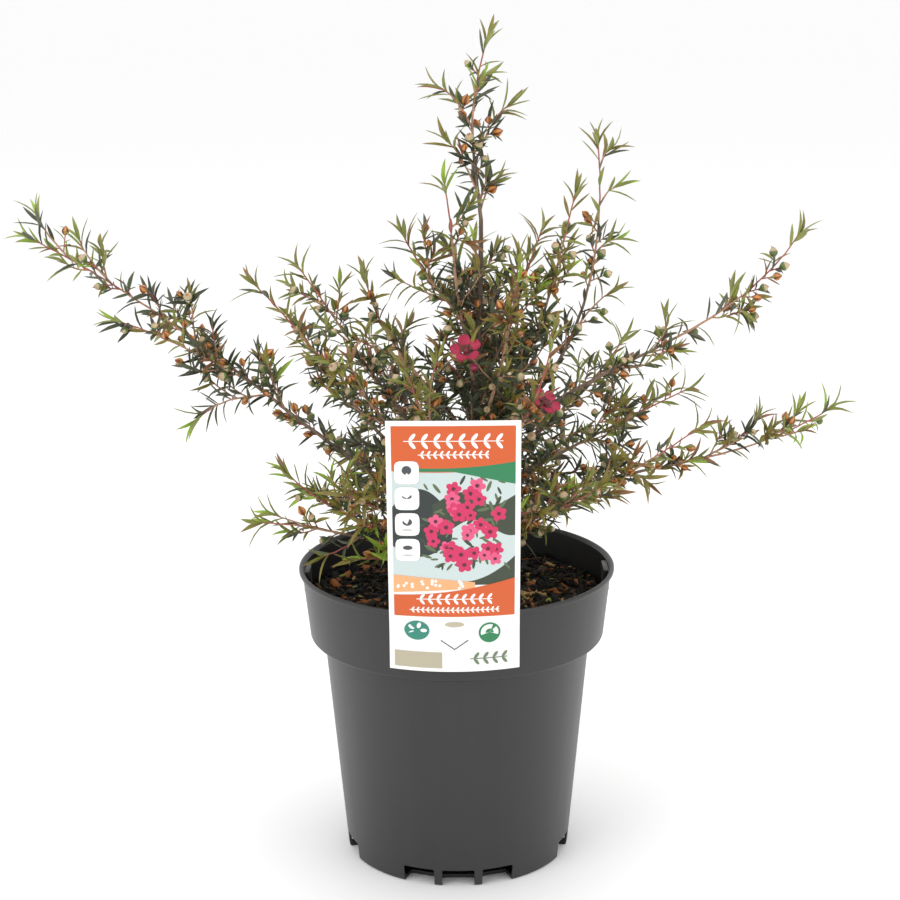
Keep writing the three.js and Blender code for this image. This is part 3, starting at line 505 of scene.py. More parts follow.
# Weights by which a leaf takes its finish: old, grown and young leaves, and the young ones of the shoots
# that end in lime
OLD_LEAVES = {DARK: 6, GREY: 4, GREEN: 4, OLIVE: 1}
GROWN_LEAVES = {GREEN: 3, OLIVE: 6, BRONZE: 2}
YOUNG_LEAVES = {LIME: 1.1, OLIVE: 6.6, BRONZE: 3.3}
LIME_LEAVES = {LIME: 8, GREEN: 1}
LEFT_TIPS = {LIME: 9, OLIVE: 3, BRONZE: 0.6}
RIGHT_TIPS = {LIME: 4.5, OLIVE: 6, BRONZE: 2.5}
LIME_TIPS = {"left_limb": LEFT_TIPS, "left_drop": LEFT_TIPS, "left_low": LEFT_TIPS, "left_foot": LEFT_TIPS,
             "right_low": RIGHT_TIPS, "right_drop": RIGHT_TIPS}

# Leaves, spurs and twigs: a leaf's step round its stem and how far it may roll, sweep and curl (below 0
# towards its stem), how widely spurs and twigs spread and how strongly they turn up, how often a node
# bears one and the stretch of stem it needs ahead, a twig's wobble, the leaves of a tuft with the step
# between them, and the bare end of a stem under its tuft
LEAF_TURN = radians(137.5)
LEAF_TURN_DRIFT = 0.4
LEAF_ROLL = 0.5
LEAF_SWEEP = 0.3
LEAF_CURL = (-0.24, 0.5)
FLUSH_SWEEP = 0.2
SPUR_SPREAD = radians(50)
SPUR_LIFT = 0.2
SPUR_RADII = (0.5 * MM, 0.42 * MM, 0.36 * MM)
SPUR_BUDS = 0.85
SPUR_SHARE = 0.56
SPUR_FADE = 0.25
SPUR_STRETCH = 12 * MM
TWIG_SPREAD = radians(44)
TWIG_LIFT = (0.3, 0.8)
TWIG_RADIUS = 0.6 * MM
TWIG_TAPER = 0.24 * MM
TWIG_SPURS = 0.24
TWIG_SHARE = 0.19
TWIG_STRETCH = 26 * MM
TWIG_WOBBLE = 0.3 * MM
TUFT_LEAVES = 5
TUFT_STEP = 1.7 * MM
BARE_END = 3 * MM

# What growth keeps clear of: room over the mix and the rim, beside the label and before the wall, and the
# room that leaves give an open flower, round its axis and ahead of it
GROWTH_ROOM = 3 * MM
WALL_ROOM = 9 * MM
LABEL_ROOM = 5 * MM
FLOWER_ROOM = 5.5 * MM
FLOWER_VIEW = (-1 * MM, 40 * MM)
FLOWER_SLOPE = 46


class Seeded:
    """The same numbers for the same seed on every run."""

    def __init__(self, seed):
        self.state = seed

    def value(self):
        self.state = (self.state * 1664525 + 1013904223) % 2**32
        return self.state / 2**32

    def vary(self, share):
        return 1 + share * (2 * self.value() - 1)

    def between(self, low, high):
        return low + (high - low) * self.value()

    def pick(self, options):
        """One of {option: weight}."""
        level = self.value() * sum(options.values())
        for option, weight in options.items():
            level -= weight
            if level <= 0:
                return option
        return option


def part_way(ends, share):
    """The value at a share of the way between two ends."""
    return ends[0] + (ends[1] - ends[0]) * share


def compass(azimuth, slope):
    level = cos(radians(slope))
    return Vector((level * cos(radians(azimuth)), level * sin(radians(azimuth)), sin(radians(slope))))


def across_from(direction):
    """Two directions square to a given one."""
    side = direction.cross(UP)
    if side.length < 0.05:
        side = Vector((1, 0, 0))
    side.normalize()
    return side, side.cross(direction).normalized()


def sideways(along, angle, spread):
    """A heading that leaves a stem: out at an angle round it, and forward along it."""
    side, over = across_from(along)
    out = side * cos(angle) + over * sin(angle)
    return (out * sin(spread) + along * cos(spread)).normalized()


def curve_points(controls, count=160):
    """Points of the Bezier curve with three or four controls."""
    share = np.linspace(0, 1, count)[:, None]
    points = [np.asarray(tuple(control))[None] + 0 * share for control in controls]
    while len(points) > 1:
        points = [a * (1 - share) + b * share for a, b in zip(points, points[1:])]
    return points[0]


class StemLine:
    """Straight stretches of about one step that follow a curve between two shares of its length."""

    def __init__(self, controls, step, start=0, end=1, wobble=0, random=None):
        fine = curve_points(controls)
        gone = np.concatenate([[0], np.cumsum(np.linalg.norm(np.diff(fine, axis=0), axis=1))])
        self.length = gone[-1] * (end - start)
        self.steps = max(1, round(self.length / step))
        wanted = gone[-1] * np.linspace(start, end, self.steps + 1)
        places = np.stack([np.interp(wanted, gone, fine[:, axis]) for axis in range(3)], axis=1)
        self.points = [Vector(place) for place in places]
        if wobble:
            for point in self.points[1:-1]:
                point += wobble * Vector([2 * random.value() - 1 for axis in range(3)])

    def at(self, share):
        step = min(int(share * self.steps), self.steps - 1)
        return self.points[step].lerp(self.points[step + 1], share * self.steps - step)

    def heading(self, share):
        step = min(int(share * self.steps), self.steps - 1)
        return (self.points[step + 1] - self.points[step]).normalized()


def trunk_point(height):
    share = (height - TRUNK_FOOT) / (TRUNK_TOP - TRUNK_FOOT)
    return Vector((TRUNK_LEAN * sin(share * pi / 2), 0, height)) * MM


def trunk_radius(height):
    rise = max(0, height - TRUNK_FOOT)
    flare = FLARE_RADIUS * max(0, 1 - rise / FLARE_HEIGHT) ** 2
    slim = (TRUNK_TIP_RADIUS - TRUNK_RADIUS) * (rise / (TRUNK_TOP - TRUNK_FOOT)) ** TRUNK_TAPER
    return (TRUNK_RADIUS + slim + flare) * MM


def shoot_controls(shoot):
    """Controls of the curve that a shoot follows from the trunk to its last leaves."""
    foot = trunk_point(shoot.foot)
    if shoot is LEADER:
        tip = Vector((LEADER_TIP_X, 0, shoot.tip)) * MM
        low = foot + Vector((-LEADER_BOW / 3, 0, LEADER_PULL)) * MM
        high = tip - Vector((LEADER_BOW, 0, LEADER_PULL)) * MM
        return [foot, low, high, tip]
    level = compass(shoot.azimuth, 0)
    foot += level * trunk_radius(shoot.foot) / 2
    tip = foot + level * shoot.reach * MM
    tip.z = shoot.tip * MM
    pull = BOUGH_PULL * (tip - foot).length
    low = foot + compass(shoot.azimuth, shoot.start) * pull
    high = tip - compass(shoot.azimuth, shoot.end) * pull
    return [foot, low, high, tip]


def side_controls(line, share, azimuth, slope, length):
    """Controls of a side shoot: it leaves its stem and swings round to its own heading."""
    length *= MM
    foot = line.at(share)
    heading = compass(azimuth, slope)
    knee = foot + line.heading(share) * 0.2 * length + heading * 0.35 * length
    return [foot, knee, foot + heading * (length - TIP_ROOM * MM)]


def clear_of_pot(point):
    """Whether a point keeps out of the pot's wall, the mix and the label."""
    over_wall = hypot(point.x, point.y) > POT_HIGH.x - WALL_ROOM
    above = point.z > (POT_HIGH.z if over_wall else MIX_HIGH.z) + GROWTH_ROOM
    beside = abs(point.x - LABEL_CENTRE) > (LABEL_HIGH.x - LABEL_LOW.x) / 2 + GROWTH_ROOM
    card = -POT_HIGH.x - max(0, point.z - POT_HIGH.z) * tan(radians(LABEL_LEAN))
    return above and (beside or point.y > card + LABEL_ROOM or point.z > LABEL_HIGH.z + GROWTH_ROOM)


Leaf = namedtuple("Leaf", "root heading face length width bend sweep mark")


class Growth:
    """What has grown in one region of the crown."""

    def __init__(self):
        self.stems = Sheaf()
        self.leaves = []
        self.buds = []
        self.blossoms = []
        self.nodes = []


class Grower:
    """Grows one shoot's spurs, twigs, leaves and buds into a region."""

    def __init__(self, shoot, seed, growth, plant):
        self.random = Seeded(seed)
        self.growth = growth
        self.plant = plant
        self.turn = self.random.value() * 2 * pi
        self.density = DENSITY.get(shoot.name, USUAL_DENSITY)
        self.youth = YOUTH.get(shoot.name, USUAL_YOUTH)
        self.young_leaves = LIME_TIPS.get(shoot.name, YOUNG_LEAVES)

    def next_turn(self):
        """Leaves stand in a spiral round their stem."""
        self.turn += LEAF_TURN + self.random.between(-LEAF_TURN_DRIFT, LEAF_TURN_DRIFT)
        return self.turn

    def leaf_tint(self, age):
        """age is 0 in the old wood and 1 at a tip."""
        fresh = age * self.youth
        if self.youth > 1:
            return self.random.pick(LIME_LEAVES)
        if self.random.value() < 1.25 * fresh - 0.2:
            return self.random.pick(self.young_leaves)
        if self.random.value() < fresh:
            return self.random.pick(GROWN_LEAVES)
        return self.random.pick(OLD_LEAVES)

    def add_leaf(self, root, along, spread, scale, mark, radius=0.0, curl=LEAF_CURL):
        """A leaf on a stem of a given radius, where there is room for it."""
        heading = sideways(along, self.next_turn(), spread)
        length = self.plant.leaf_length * scale
        root = root + heading * radius * 0.6
        if not (clear_of_pot(root + heading * length) and clear_of_pot(root + heading * length / 2)):
            return
        face = (along - heading * along.dot(heading)).normalized()
        roll = self.random.between(-LEAF_ROLL, LEAF_ROLL)
        face = face * cos(roll) + heading.cross(face) * sin(roll)
        width = self.plant.leaf_width * min(1, 0.4 + 0.6 * scale) * self.random.vary(0.2)
        sweep = self.random.between(-LEAF_SWEEP, LEAF_SWEEP)
        bend = self.random.between(*curl)
        self.growth.leaves.append(Leaf(root, heading, face, length, width, bend, sweep, mark))

    def add_bud(self, root, heading):
        """A cup with a pale dome, more often on young growth, or an open husk."""
        length = self.plant.bud_length * self.random.vary(0.18)
        if not clear_of_pot(root + heading * length):
            return
        kind = self.random.pick({"husk": 1.5 - 0.6 * self.youth, "cup": 0.45 + 0.7 * self.youth})
        self.growth.buds.append((root, heading, length, kind))

    def add_spur(self, root, along, radius, age):
        """A short shoot: a few close leaves, and often a bud at its end."""
        heading = sideways(along, self.next_turn(), SPUR_SPREAD * self.random.vary(0.3))
        heading = (heading + SPUR_LIFT * UP).normalized()
        length = self.plant.spur_length * self.random.vary(0.6)
        foot = root + heading * radius * 0.5
        tip = foot + heading * length
        if not clear_of_pot(tip + heading * length):
            return
        mark = self.leaf_tint(age)
        bark = RED_TWIG if self.random.value() < age else TWIG
        tube(self.growth.stems, [foot, foot.lerp(tip, 0.5), tip], SPUR_RADII, 4, bark)
        count = 3 + int(2.6 * self.random.value())
        for i in range(count):
            spread = radians(66 - 30 * i / count)
            share = 0.25 + 0.7 * i / count
            self.add_leaf(foot.lerp(tip, share), heading, spread, self.random.between(0.55, 1.1), mark)
        if self.random.value() < SPUR_BUDS:
            self.add_bud(tip, heading)
        else:
            self.add_leaf(tip, heading, radians(16), self.random.between(0.7, 1.1), mark)

    def add_twig(self, root, along, length, age):
        """A leafy twig that swings up and ends in a young tuft. A fresh one is bare before its tuft."""
        heading = sideways(along, self.next_turn(), TWIG_SPREAD * self.random.vary(0.25))
        fresh = self.random.value() < (0.5 * age + 0.1) * self.youth
        knee = root + heading * length * 0.5
        tip = knee + (heading + self.random.between(*TWIG_LIFT) * UP).normalized() * length * 0.5
        if not (clear_of_pot(tip) and clear_of_pot(tip + heading * 12 * MM)):
            return
        twig = StemLine([root, knee, tip], STEM_STEP, wobble=TWIG_WOBBLE, random=self.random)
        shares = np.linspace(0, 1, twig.steps + 1)
        red_from = 0.3 if fresh else 0.55 if age > 0.4 else 2
        marks = [RED_TWIG if s > red_from else TWIG for s in shares]
        tube(self.growth.stems, twig.points, TWIG_RADIUS - TWIG_TAPER * shares, 5, marks)
        mark = self.leaf_tint(age)
        place = 0.16 * length
        last = (0.55 * length if fresh else length) - 2 * MM
        while place < last:
            at = min(1, place / twig.length)
            if self.random.value() < TWIG_SPURS:
                self.add_spur(twig.at(at), twig.heading(at), 0, age)
            else:
                self.add_leaf(twig.at(at), twig.heading(at), radians(60 - 16 * at),
                              self.random.between(0.65, 1.15), mark)
            place += self.plant.node_step * self.random.vary(0.3)
        self.add_tuft(twig, 1 if fresh else age, mark, 1.2 if fresh else 0.95)

    def add_tuft(self, line, age, mark, scale):
        """The close young leaves at the end of a stem, folded together at first and curled out below."""
        young = self.leaf_tint(min(1, age + 0.4))
        if age == 1:
            young = self.random.pick(self.young_leaves)
        for i, number in enumerate([young] * (TUFT_LEAVES - 1) + [mark]):
            at = max(0, 1 - i * TUFT_STEP / line.length)
            size = scale * self.random.between(0.9, 1.1) * (0.84 + 0.06 * i)
            spread = radians(4 + 8 * i) * self.random.vary(0.3)
            curl = (0.12, 0.48 + 0.05 * i)
            self.add_leaf(line.at(at), line.heading(at), spread, size, number, curl=curl)

    def dress(self, line, bare, radii, ages, twigs, tip=True):
        """Leaves, spurs and twigs along a stem, from a bare share of it on. Each pair runs from foot
        to tip: the stem's radius, its age and the length of its twigs."""
        place = bare * line.length + self.plant.node_step
        end = line.length - BARE_END if tip else line.length
        while place < end:
            share = place / line.length
            radius = part_way(radii, share)
            age = part_way(ages, share**1.5)
            left = line.length - place if tip else 1
            spur = SPUR_SHARE - SPUR_FADE * age if left > SPUR_STRETCH else 0
            twig = TWIG_SHARE if left > TWIG_STRETCH else 0
            level = self.random.value()
            foot, heading = line.at(share), line.heading(share)
            place += self.plant.node_step * (1 + 0.3 * age) * self.random.vary(0.3)
            if self.random.value() > part_way(self.density, share):
                continue
            if level < spur:
                self.add_spur(foot, heading, radius, age)
            elif level < spur + twig:
                length = part_way(twigs, share) * self.random.vary(0.35)
                self.add_twig(foot, heading, length * self.plant.twig_length, age)
            else:
                scale = self.random.between(0.7, 1.15) + 0.15 * age
                spread = radians(64 - 32 * age) * self.random.vary(0.2)
                self.add_leaf(foot, heading, spread, scale, self.leaf_tint(age), radius)
        if tip:
            self.add_tuft(line, 1, self.leaf_tint(1), 1.25)

    def dress_trunk(self):
        """Twigs that stand out all round the trunk, inside the crown."""
        low, high = TRUNK_TWIGS
        height = low
        while height < high:
            share = (height - low) / (high - low)
            length = self.plant.twig_length * self.random.between(1.1, 1.9) * (1.25 - 0.6 * share)
            self.add_twig(trunk_point(height), UP, length, 0.35)
            height += TRUNK_TWIG_STEP * self.random.vary(0.4)


def stem_tube(growth, line, foot, old):
    """A tapering stem that turns from bark to red young growth towards its tip."""
    shares = np.linspace(0, 1, line.steps + 1)
    marks = [BARK if s < old else TWIG if s < 0.72 else RED_TWIG for s in shares]
    radii = STEM_TIP_RADIUS + (foot - STEM_TIP_RADIUS) * (1 - shares) ** 1.4
    tube(growth.stems, line.points, radii * MM, 7, marks)


def grow_shoot(shoot, seed, growth, plant):
    """A shoot's stem beyond its bare bough, its side shoots, and what they all bear."""
    grower = Grower(shoot, seed, growth, plant)
    controls = shoot_controls(shoot)
    whole = StemLine(controls, STEM_STEP).length
    room = 0 if shoot.blossom or shoot is LEADER else TIP_ROOM * MM / whole
    stem = StemLine(controls, STEM_STEP, shoot.bough, 1 - room, STEM_WOBBLE, grower.random)
    foot = TRUNK_TIP_RADIUS if shoot is LEADER else BOUGH_END if shoot.bough else shoot.radius
    stem_tube(growth, stem, foot, 0.4 if shoot.bough or shoot is LEADER else 0.25)
    radii = (foot * MM, STEM_TIP_RADIUS * MM)
    if shoot is LEADER:
        grower.dress(stem, 0.04, radii, (0.1, 1), (0.7, 0.5))
        Grower(shoot, plant.seed, growth, plant).dress_trunk()
    elif shoot.bough:
        bough = StemLine(controls, STEM_STEP, 0, shoot.bough)
        grower.dress(bough, 0.15, (shoot.radius * MM, foot * MM), (0.15, 0.25), (1.7, 1.4), tip=False)
        grower.dress(stem, 0, radii, (0.15, 1), (1.15, 0.65))
    else:
        grower.dress(stem, 0.16, radii, (0.1, 1), (1.4, 0.65))
    for share, azimuth, slope, length in shoot.sides:
        place = (share - shoot.bough) / (1 - room - shoot.bough)
        side = StemLine(side_controls(stem, place, azimuth, slope, length), STEM_STEP,
                        wobble=SIDE_WOBBLE, random=grower.random)
        stem_tube(growth, side, SIDE_RADIUS, 0.1)
        radii = (SIDE_RADIUS * MM, STEM_TIP_RADIUS * MM)
        grower.dress(side, 0.12, radii, (0.3 + 0.4 * place, 1), (0.9, 0.5))
    if shoot.blossom:
        growth.blossoms.append((stem.at(1), compass(shoot.azimuth, FLOWER_SLOPE)))
        for share, turn in ((0.6, 50), (0.8, -70)):
            heading = (compass(shoot.azimuth + turn, -8) + 0.3 * stem.heading(share)).normalized()
            growth.buds.append((stem.at(share), heading, 1.3 * plant.bud_length, "pink"))


def region_of(name):
    word = name.split("_")[0]
    return word if word in ("left", "right", "back") else "crown"


def grow_plant(plant):
    """Every shoot's foliage, by region."""
    regions = {}
    for index, shoot in enumerate((LEADER, *SHOOTS)):
        growth = regions.setdefault(region_of(shoot.name), Growth())
        growth.nodes.append(f"mass_{shoot.name}")
        grow_shoot(shoot, plant.seed + SEED_STEP * (index - 1), growth, plant)
    blossoms = [place for growth in regions.values() for place in growth.blossoms]
    for growth in regions.values():
        growth.leaves = [leaf for leaf in growth.leaves if not hides_flower(leaf, blossoms)]
    return regions


def hides_flower(leaf, blossoms):
    """Whether a leaf stands over an open flower."""
    low, high = FLOWER_VIEW
    for centre, axis in blossoms:
        for share in (0.3, 0.65, 1):
            way = leaf.root + leaf.heading * leaf.length * share - centre
            ahead = way.dot(axis)
            if low < ahead < high and (way - axis * ahead).length < FLOWER_ROOM:
                return True
    return False


# Leaves, buds and blossoms as joined meshes

# Share of a leaf's length and of its half width at each of its rings
LEAF_RINGS = ((0.0, 0.2), (0.15, 0.62), (0.36, 1.0), (0.6, 0.92), (0.83, 0.5))
LEAF_FOLD = radians(24)
LEAF_KEEL = 0.1


def leaf_mesh(sheaf, leaves):
    """Folded blades: four corners a ring, the midrib's two and one on each margin."""
    root, heading, face, *sizes, mark = (np.array(column) for column in zip(*leaves))
    length, width, bend, sweep = (column[:, None] for column in sizes)
    side = np.cross(face, heading)
    drift = side * sweep - face * bend
    corners = []
    for share, breadth in LEAF_RINGS:
        middle = root + heading * length * share + drift * length * share**2
        half = width / 2 * breadth
        rise = face * half * sin(LEAF_FOLD)
        out = side * half * cos(LEAF_FOLD)
        corners += [middle + out + rise, middle, middle - out + rise, middle - face * width * LEAF_KEEL]
    corners.append(root + heading * length + drift * length)
    count = len(corners)
    block = np.stack(corners, axis=1).reshape(-1, 3)
    starts = (np.arange(len(leaves)) * count)[:, None, None]
    rings = len(LEAF_RINGS)
    walls = ring_faces(rings, 4).reshape(rings - 1, 4, 4)
    upper, lower = walls[:, 0:2].reshape(-1, 4), walls[:, 2:4].reshape(-1, 4)
    last = np.arange(4) + 4 * (rings - 1)
    tip = fan(count - 1, last, False)
    under = np.where(mark >= OLIVE, YOUNG_UNDER, UNDER)
    base = np.array([[0, 3, 2, 1]])
    quads = [(upper, mark), (lower, under), (base, under)]
    faces = [(starts + rows_of[None]).reshape(-1, 4) for rows_of, marks in quads]
    marks = [np.repeat(marks, len(rows_of)) for rows_of, marks in quads]
    swept = sweep[:, 0]
    flushed = ((mark == OLIVE) & (swept > 0)) | ((mark == LIME) & (swept > FLUSH_SWEEP))
    faces.append((starts + tip[None, 0:2]).reshape(-1, 3))
    marks.append(np.repeat(np.where(flushed, BRONZE, mark), 2))
    faces.append((starts + tip[None, 2:4]).reshape(-1, 3))
    marks.append(np.repeat(under, 2))
    sheaf.add(block, faces, marks)


# Share of a bud's length and of its width at each ring, and the finish above that ring
CUP_RINGS = ((0.0, 0.16, CUP), (0.12, 0.52, CUP), (0.32, 0.92, CUP), (0.52, 1.0, CUP), (0.57, 0.92, DOME),
             (0.76, 0.7, DOME), (0.91, 0.36, DOME_TIP))
HUSK_RINGS = ((0.0, 0.2, HUSK), (0.14, 0.66, HUSK), (0.34, 0.96, HUSK), (0.56, 0.94, HUSK),
              (0.76, 0.62, HUSK), (0.92, 0.24, TIP_BROWN))
BUD_SIDES = 8
BUD_SLIM = {"cup": 0.86, "husk": 0.76, "pink": 0.8}


def bud_mesh(sheaf, root, heading, length, kind):
    """A ribbed husk, or a smooth cup with a dome that is pale or pink."""
    rings = HUSK_RINGS if kind == "husk" else CUP_RINGS
    side, over = (np.array(axis) for axis in across_from(heading))
    turn = 2 * pi * np.arange(BUD_SIDES) / BUD_SIDES
    corners, marks = [], []
    for share, breadth, mark in rings:
        radius = length / 2 * BUD_SLIM[kind] * breadth
        centre = np.array(root) + np.array(heading) * length * share
        ridge = 1 + 0.07 * np.cos(4 * turn) * (kind == "husk")
        ring = np.outer(np.cos(turn) * ridge, side) + np.outer(np.sin(turn) * ridge, over)
        corners.append(centre + radius * ring)
        if kind == "pink" and mark in (DOME, DOME_TIP):
            mark = PINK
        row = np.full(BUD_SIDES, mark)
        # Every other face of a husk is paler: partly the husk's own streaks, partly a painted highlight on
        # one flank of each rib.
        if mark == HUSK:
            row[::2] = HUSK_STREAK_AND_HIGHLIGHT
        marks.append(row)
    ends = np.array([root, root + heading * length])
    first = np.arange(BUD_SIDES)
    last = first + (len(rings) - 1) * BUD_SIDES
    total = len(rings) * BUD_SIDES
    faces = [ring_faces(len(rings), BUD_SIDES), fan(total, first), fan(total + 1, last, False)]
    tips = [np.concatenate(marks[:-1]), marks[0], marks[-1]]
    sheaf.add(np.concatenate([*corners, ends]), faces, tips)


# A blossom: the share of a petal's length at each row of its corners, close together where its outline
# turns, the middle and radius of its round part and half the width of its claw as shares too, and its
# dark rows at the foot
PETAL_ROWS = (0.0, 0.14, 0.26, 0.34, 0.46, 0.6, 0.74, 0.86, 0.94, 0.985, 1.0)
PETAL_COLUMNS = 7
PETAL_DISC = (0.61, 0.39)
PETAL_CLAW = 0.06
PETAL_HEART_ROWS = 3
PETAL_THICKNESS = 0.2 * MM
PETALS = 5
STAMENS = 18
BLOSSOM_SEED = 71
PETAL, PETAL_HEART, STAMEN, ANTHER = range(4)


def petal_mesh(sheaf, centre, out, over, axis, length, random):
    """A round petal on a narrow claw, cupped and a little crumpled, as a thin closed shell."""
    share, across = np.meshgrid(PETAL_ROWS, np.linspace(-1, 1, PETAL_COLUMNS), indexing="ij")
    middle, radius = PETAL_DISC
    breadth = np.sqrt(np.clip(radius**2 - (share - middle) ** 2, 0, None)) + PETAL_CLAW
    lift = 0.1 * share + random.between(0.12, 0.3) * share**2 + 0.5 * (across * breadth) ** 2
    lift += 0.03 * np.sin(5 * across + 7 * share + 6 * random.value()) * share
    steps = [share[..., None] * out, (across * breadth)[..., None] * over, lift[..., None] * axis]
    top = (centre + length * sum(steps)).reshape(-1, 3)
    corners = np.concatenate([top, top - axis * PETAL_THICKNESS])
    count, rows = len(top), len(PETAL_ROWS)
    face = grid_faces(rows, PETAL_COLUMNS)[:, [0, 3, 2, 1]]
    back = face[:, ::-1] + count
    grid = np.arange(count).reshape(rows, PETAL_COLUMNS)
    edge = np.concatenate([grid[:, 0], grid[-1, 1:], grid[-2::-1, -1], grid[0, -2:0:-1]])
    ahead = np.roll(edge, -1)
    rim = np.stack([ahead, edge, edge + count, ahead + count], axis=1)
    marks = np.where(face[:, 0] < PETAL_HEART_ROWS * PETAL_COLUMNS, PETAL_HEART, PETAL)
    sheaf.add(corners, [face, back, rim], [marks, marks, PETAL])


def blossom_mesh(sheaf, centre, axis, petal, random):
    """Five petals round a dark cup, with a ring of stamens."""
    side, over = (np.array(line) for line in across_from(axis))
    centre, axis = np.array(centre), np.array(axis)
    for i in range(PETALS):
        turn = 2 * pi * i / PETALS + random.between(-0.1, 0.1)
        out = side * cos(turn) + over * sin(turn)
        foot, length = centre + out * 1.2 * MM, petal * random.vary(0.08)
        petal_mesh(sheaf, foot, out, np.cross(axis, out), axis, length, random)
    cup = [centre + axis * level * MM for level in (-2.4, -1, 0.6)]
    tube(sheaf, cup, [0.8 * MM, 1.7 * MM, 2.1 * MM], 12, PETAL_HEART)
    for i in range(STAMENS):
        turn = 2 * pi * i / STAMENS
        out = side * cos(turn) + over * sin(turn)
        foot = centre + out * 1.7 * MM
        tip = foot + (axis * 1.8 + out * 0.5) * MM * random.vary(0.2)
        tube(sheaf, [foot, foot * 0.5 + tip * 0.5, tip], [0.12 * MM, 0.1 * MM, 0.22 * MM], 4,
             [STAMEN, ANTHER, ANTHER])


# Pot, mix and label


def deselect_all():
    bpy.ops.object.select_all(action="DESELECT")


def activate(piece):
    """Selects one piece alone and makes it the active one."""
    deselect_all()
    piece.select_set(True)
    bpy.context.view_layer.objects.active = piece


def raised_ring_by_ring(name, profile, sides):
    """A disc extruded up the outside of a profile of (radius, height), over the rim and down inside."""
    deselect_all()
    radius, height = profile[0]
    bpy.ops.mesh.primitive_circle_add(
        vertices=sides, radius=radius, fill_type="NGON", location=(0, 0, height))
    made = bpy.context.object
    made.name = made.data.name = name
    bpy.ops.object.mode_set(mode="EDIT")
    bpy.ops.mesh.select_all(action="SELECT")
    for (here, low), (there, high) in zip(profile, profile[1:]):
        bpy.ops.mesh.extrude_region_move(TRANSFORM_OT_translate={"value": (0, 0, high - low)})
        factor = there / here
        bpy.ops.transform.resize(value=(factor, factor, 1), center_override=(0, 0, 0))
    bpy.ops.mesh.select_all(action="SELECT")
    bpy.ops.mesh.normals_make_consistent(inside=False)
    bpy.ops.object.mode_set(mode="OBJECT")
    bpy.ops.object.transform_apply(location=True, rotation=True, scale=True)
    return made


def block(size, place, turn, bevel):
    """A box at a place, its edges beveled, turned about the pot's axis."""
    deselect_all()
    bpy.ops.mesh.primitive_cube_add(size=1, location=place)
    made = bpy.context.object
    made.scale = size
    bpy.ops.object.transform_apply(location=True, rotation=True, scale=True)
    bpy.ops.object.mode_set(mode="EDIT")
    bpy.ops.mesh.select_all(action="SELECT")
    bpy.ops.mesh.bevel(offset=bevel, segments=2, affect="EDGES")
    bpy.ops.transform.rotate(value=-turn, orient_axis="Z", center_override=(0, 0, 0))
    bpy.ops.object.mode_set(mode="OBJECT")
    return made


def boolean(body, tool, operation):
    """Joins a tool to a body or cuts it out, and removes the tool."""
    activate(body)
    change = body.modifiers.new("cut", "BOOLEAN")
    change.operation = operation
    change.object = tool
    change.solver = "EXACT"
    bpy.ops.object.modifier_apply(modifier=change.name)
    bpy.data.objects.remove(tool)


def smooth(piece, angle):
    """Shades a piece smooth but for its edges over an angle in degrees."""
    activate(piece)
    bpy.ops.object.shade_smooth_by_angle(angle=radians(angle))


def arc(centre, radius, start, end, steps):
    """Points of (radius, height) on an arc, its angles in degrees from straight out."""
    turns = [radians(start + (end - start) * i / steps) for i in range(steps + 1)]
    return [(centre[0] + radius * cos(turn), centre[1] + radius * sin(turn)) for turn in turns]


# How far inside the rim the collar and the body begin and end, the boxes that make a lug, its slot and a
# drain hole (out, across and up), and the holes' step round the foot
COLLAR_TOP_INSET = 2 * MM
COLLAR_FOOT_INSET = 6.3 * MM
BODY_TOP_INSET = 15.2 * MM
BODY_FOOT_INSET = 27.7 * MM
POT_SIDES = 144
LUG_BOX = (3.6 * MM, 21 * MM, 13 * MM)
SLOT_BOX = (24 * MM, 16 * MM, 9 * MM)
DRAIN_BOX = (24 * MM, 20 * MM, 22 * MM)
DRAIN_STEP = radians(20)


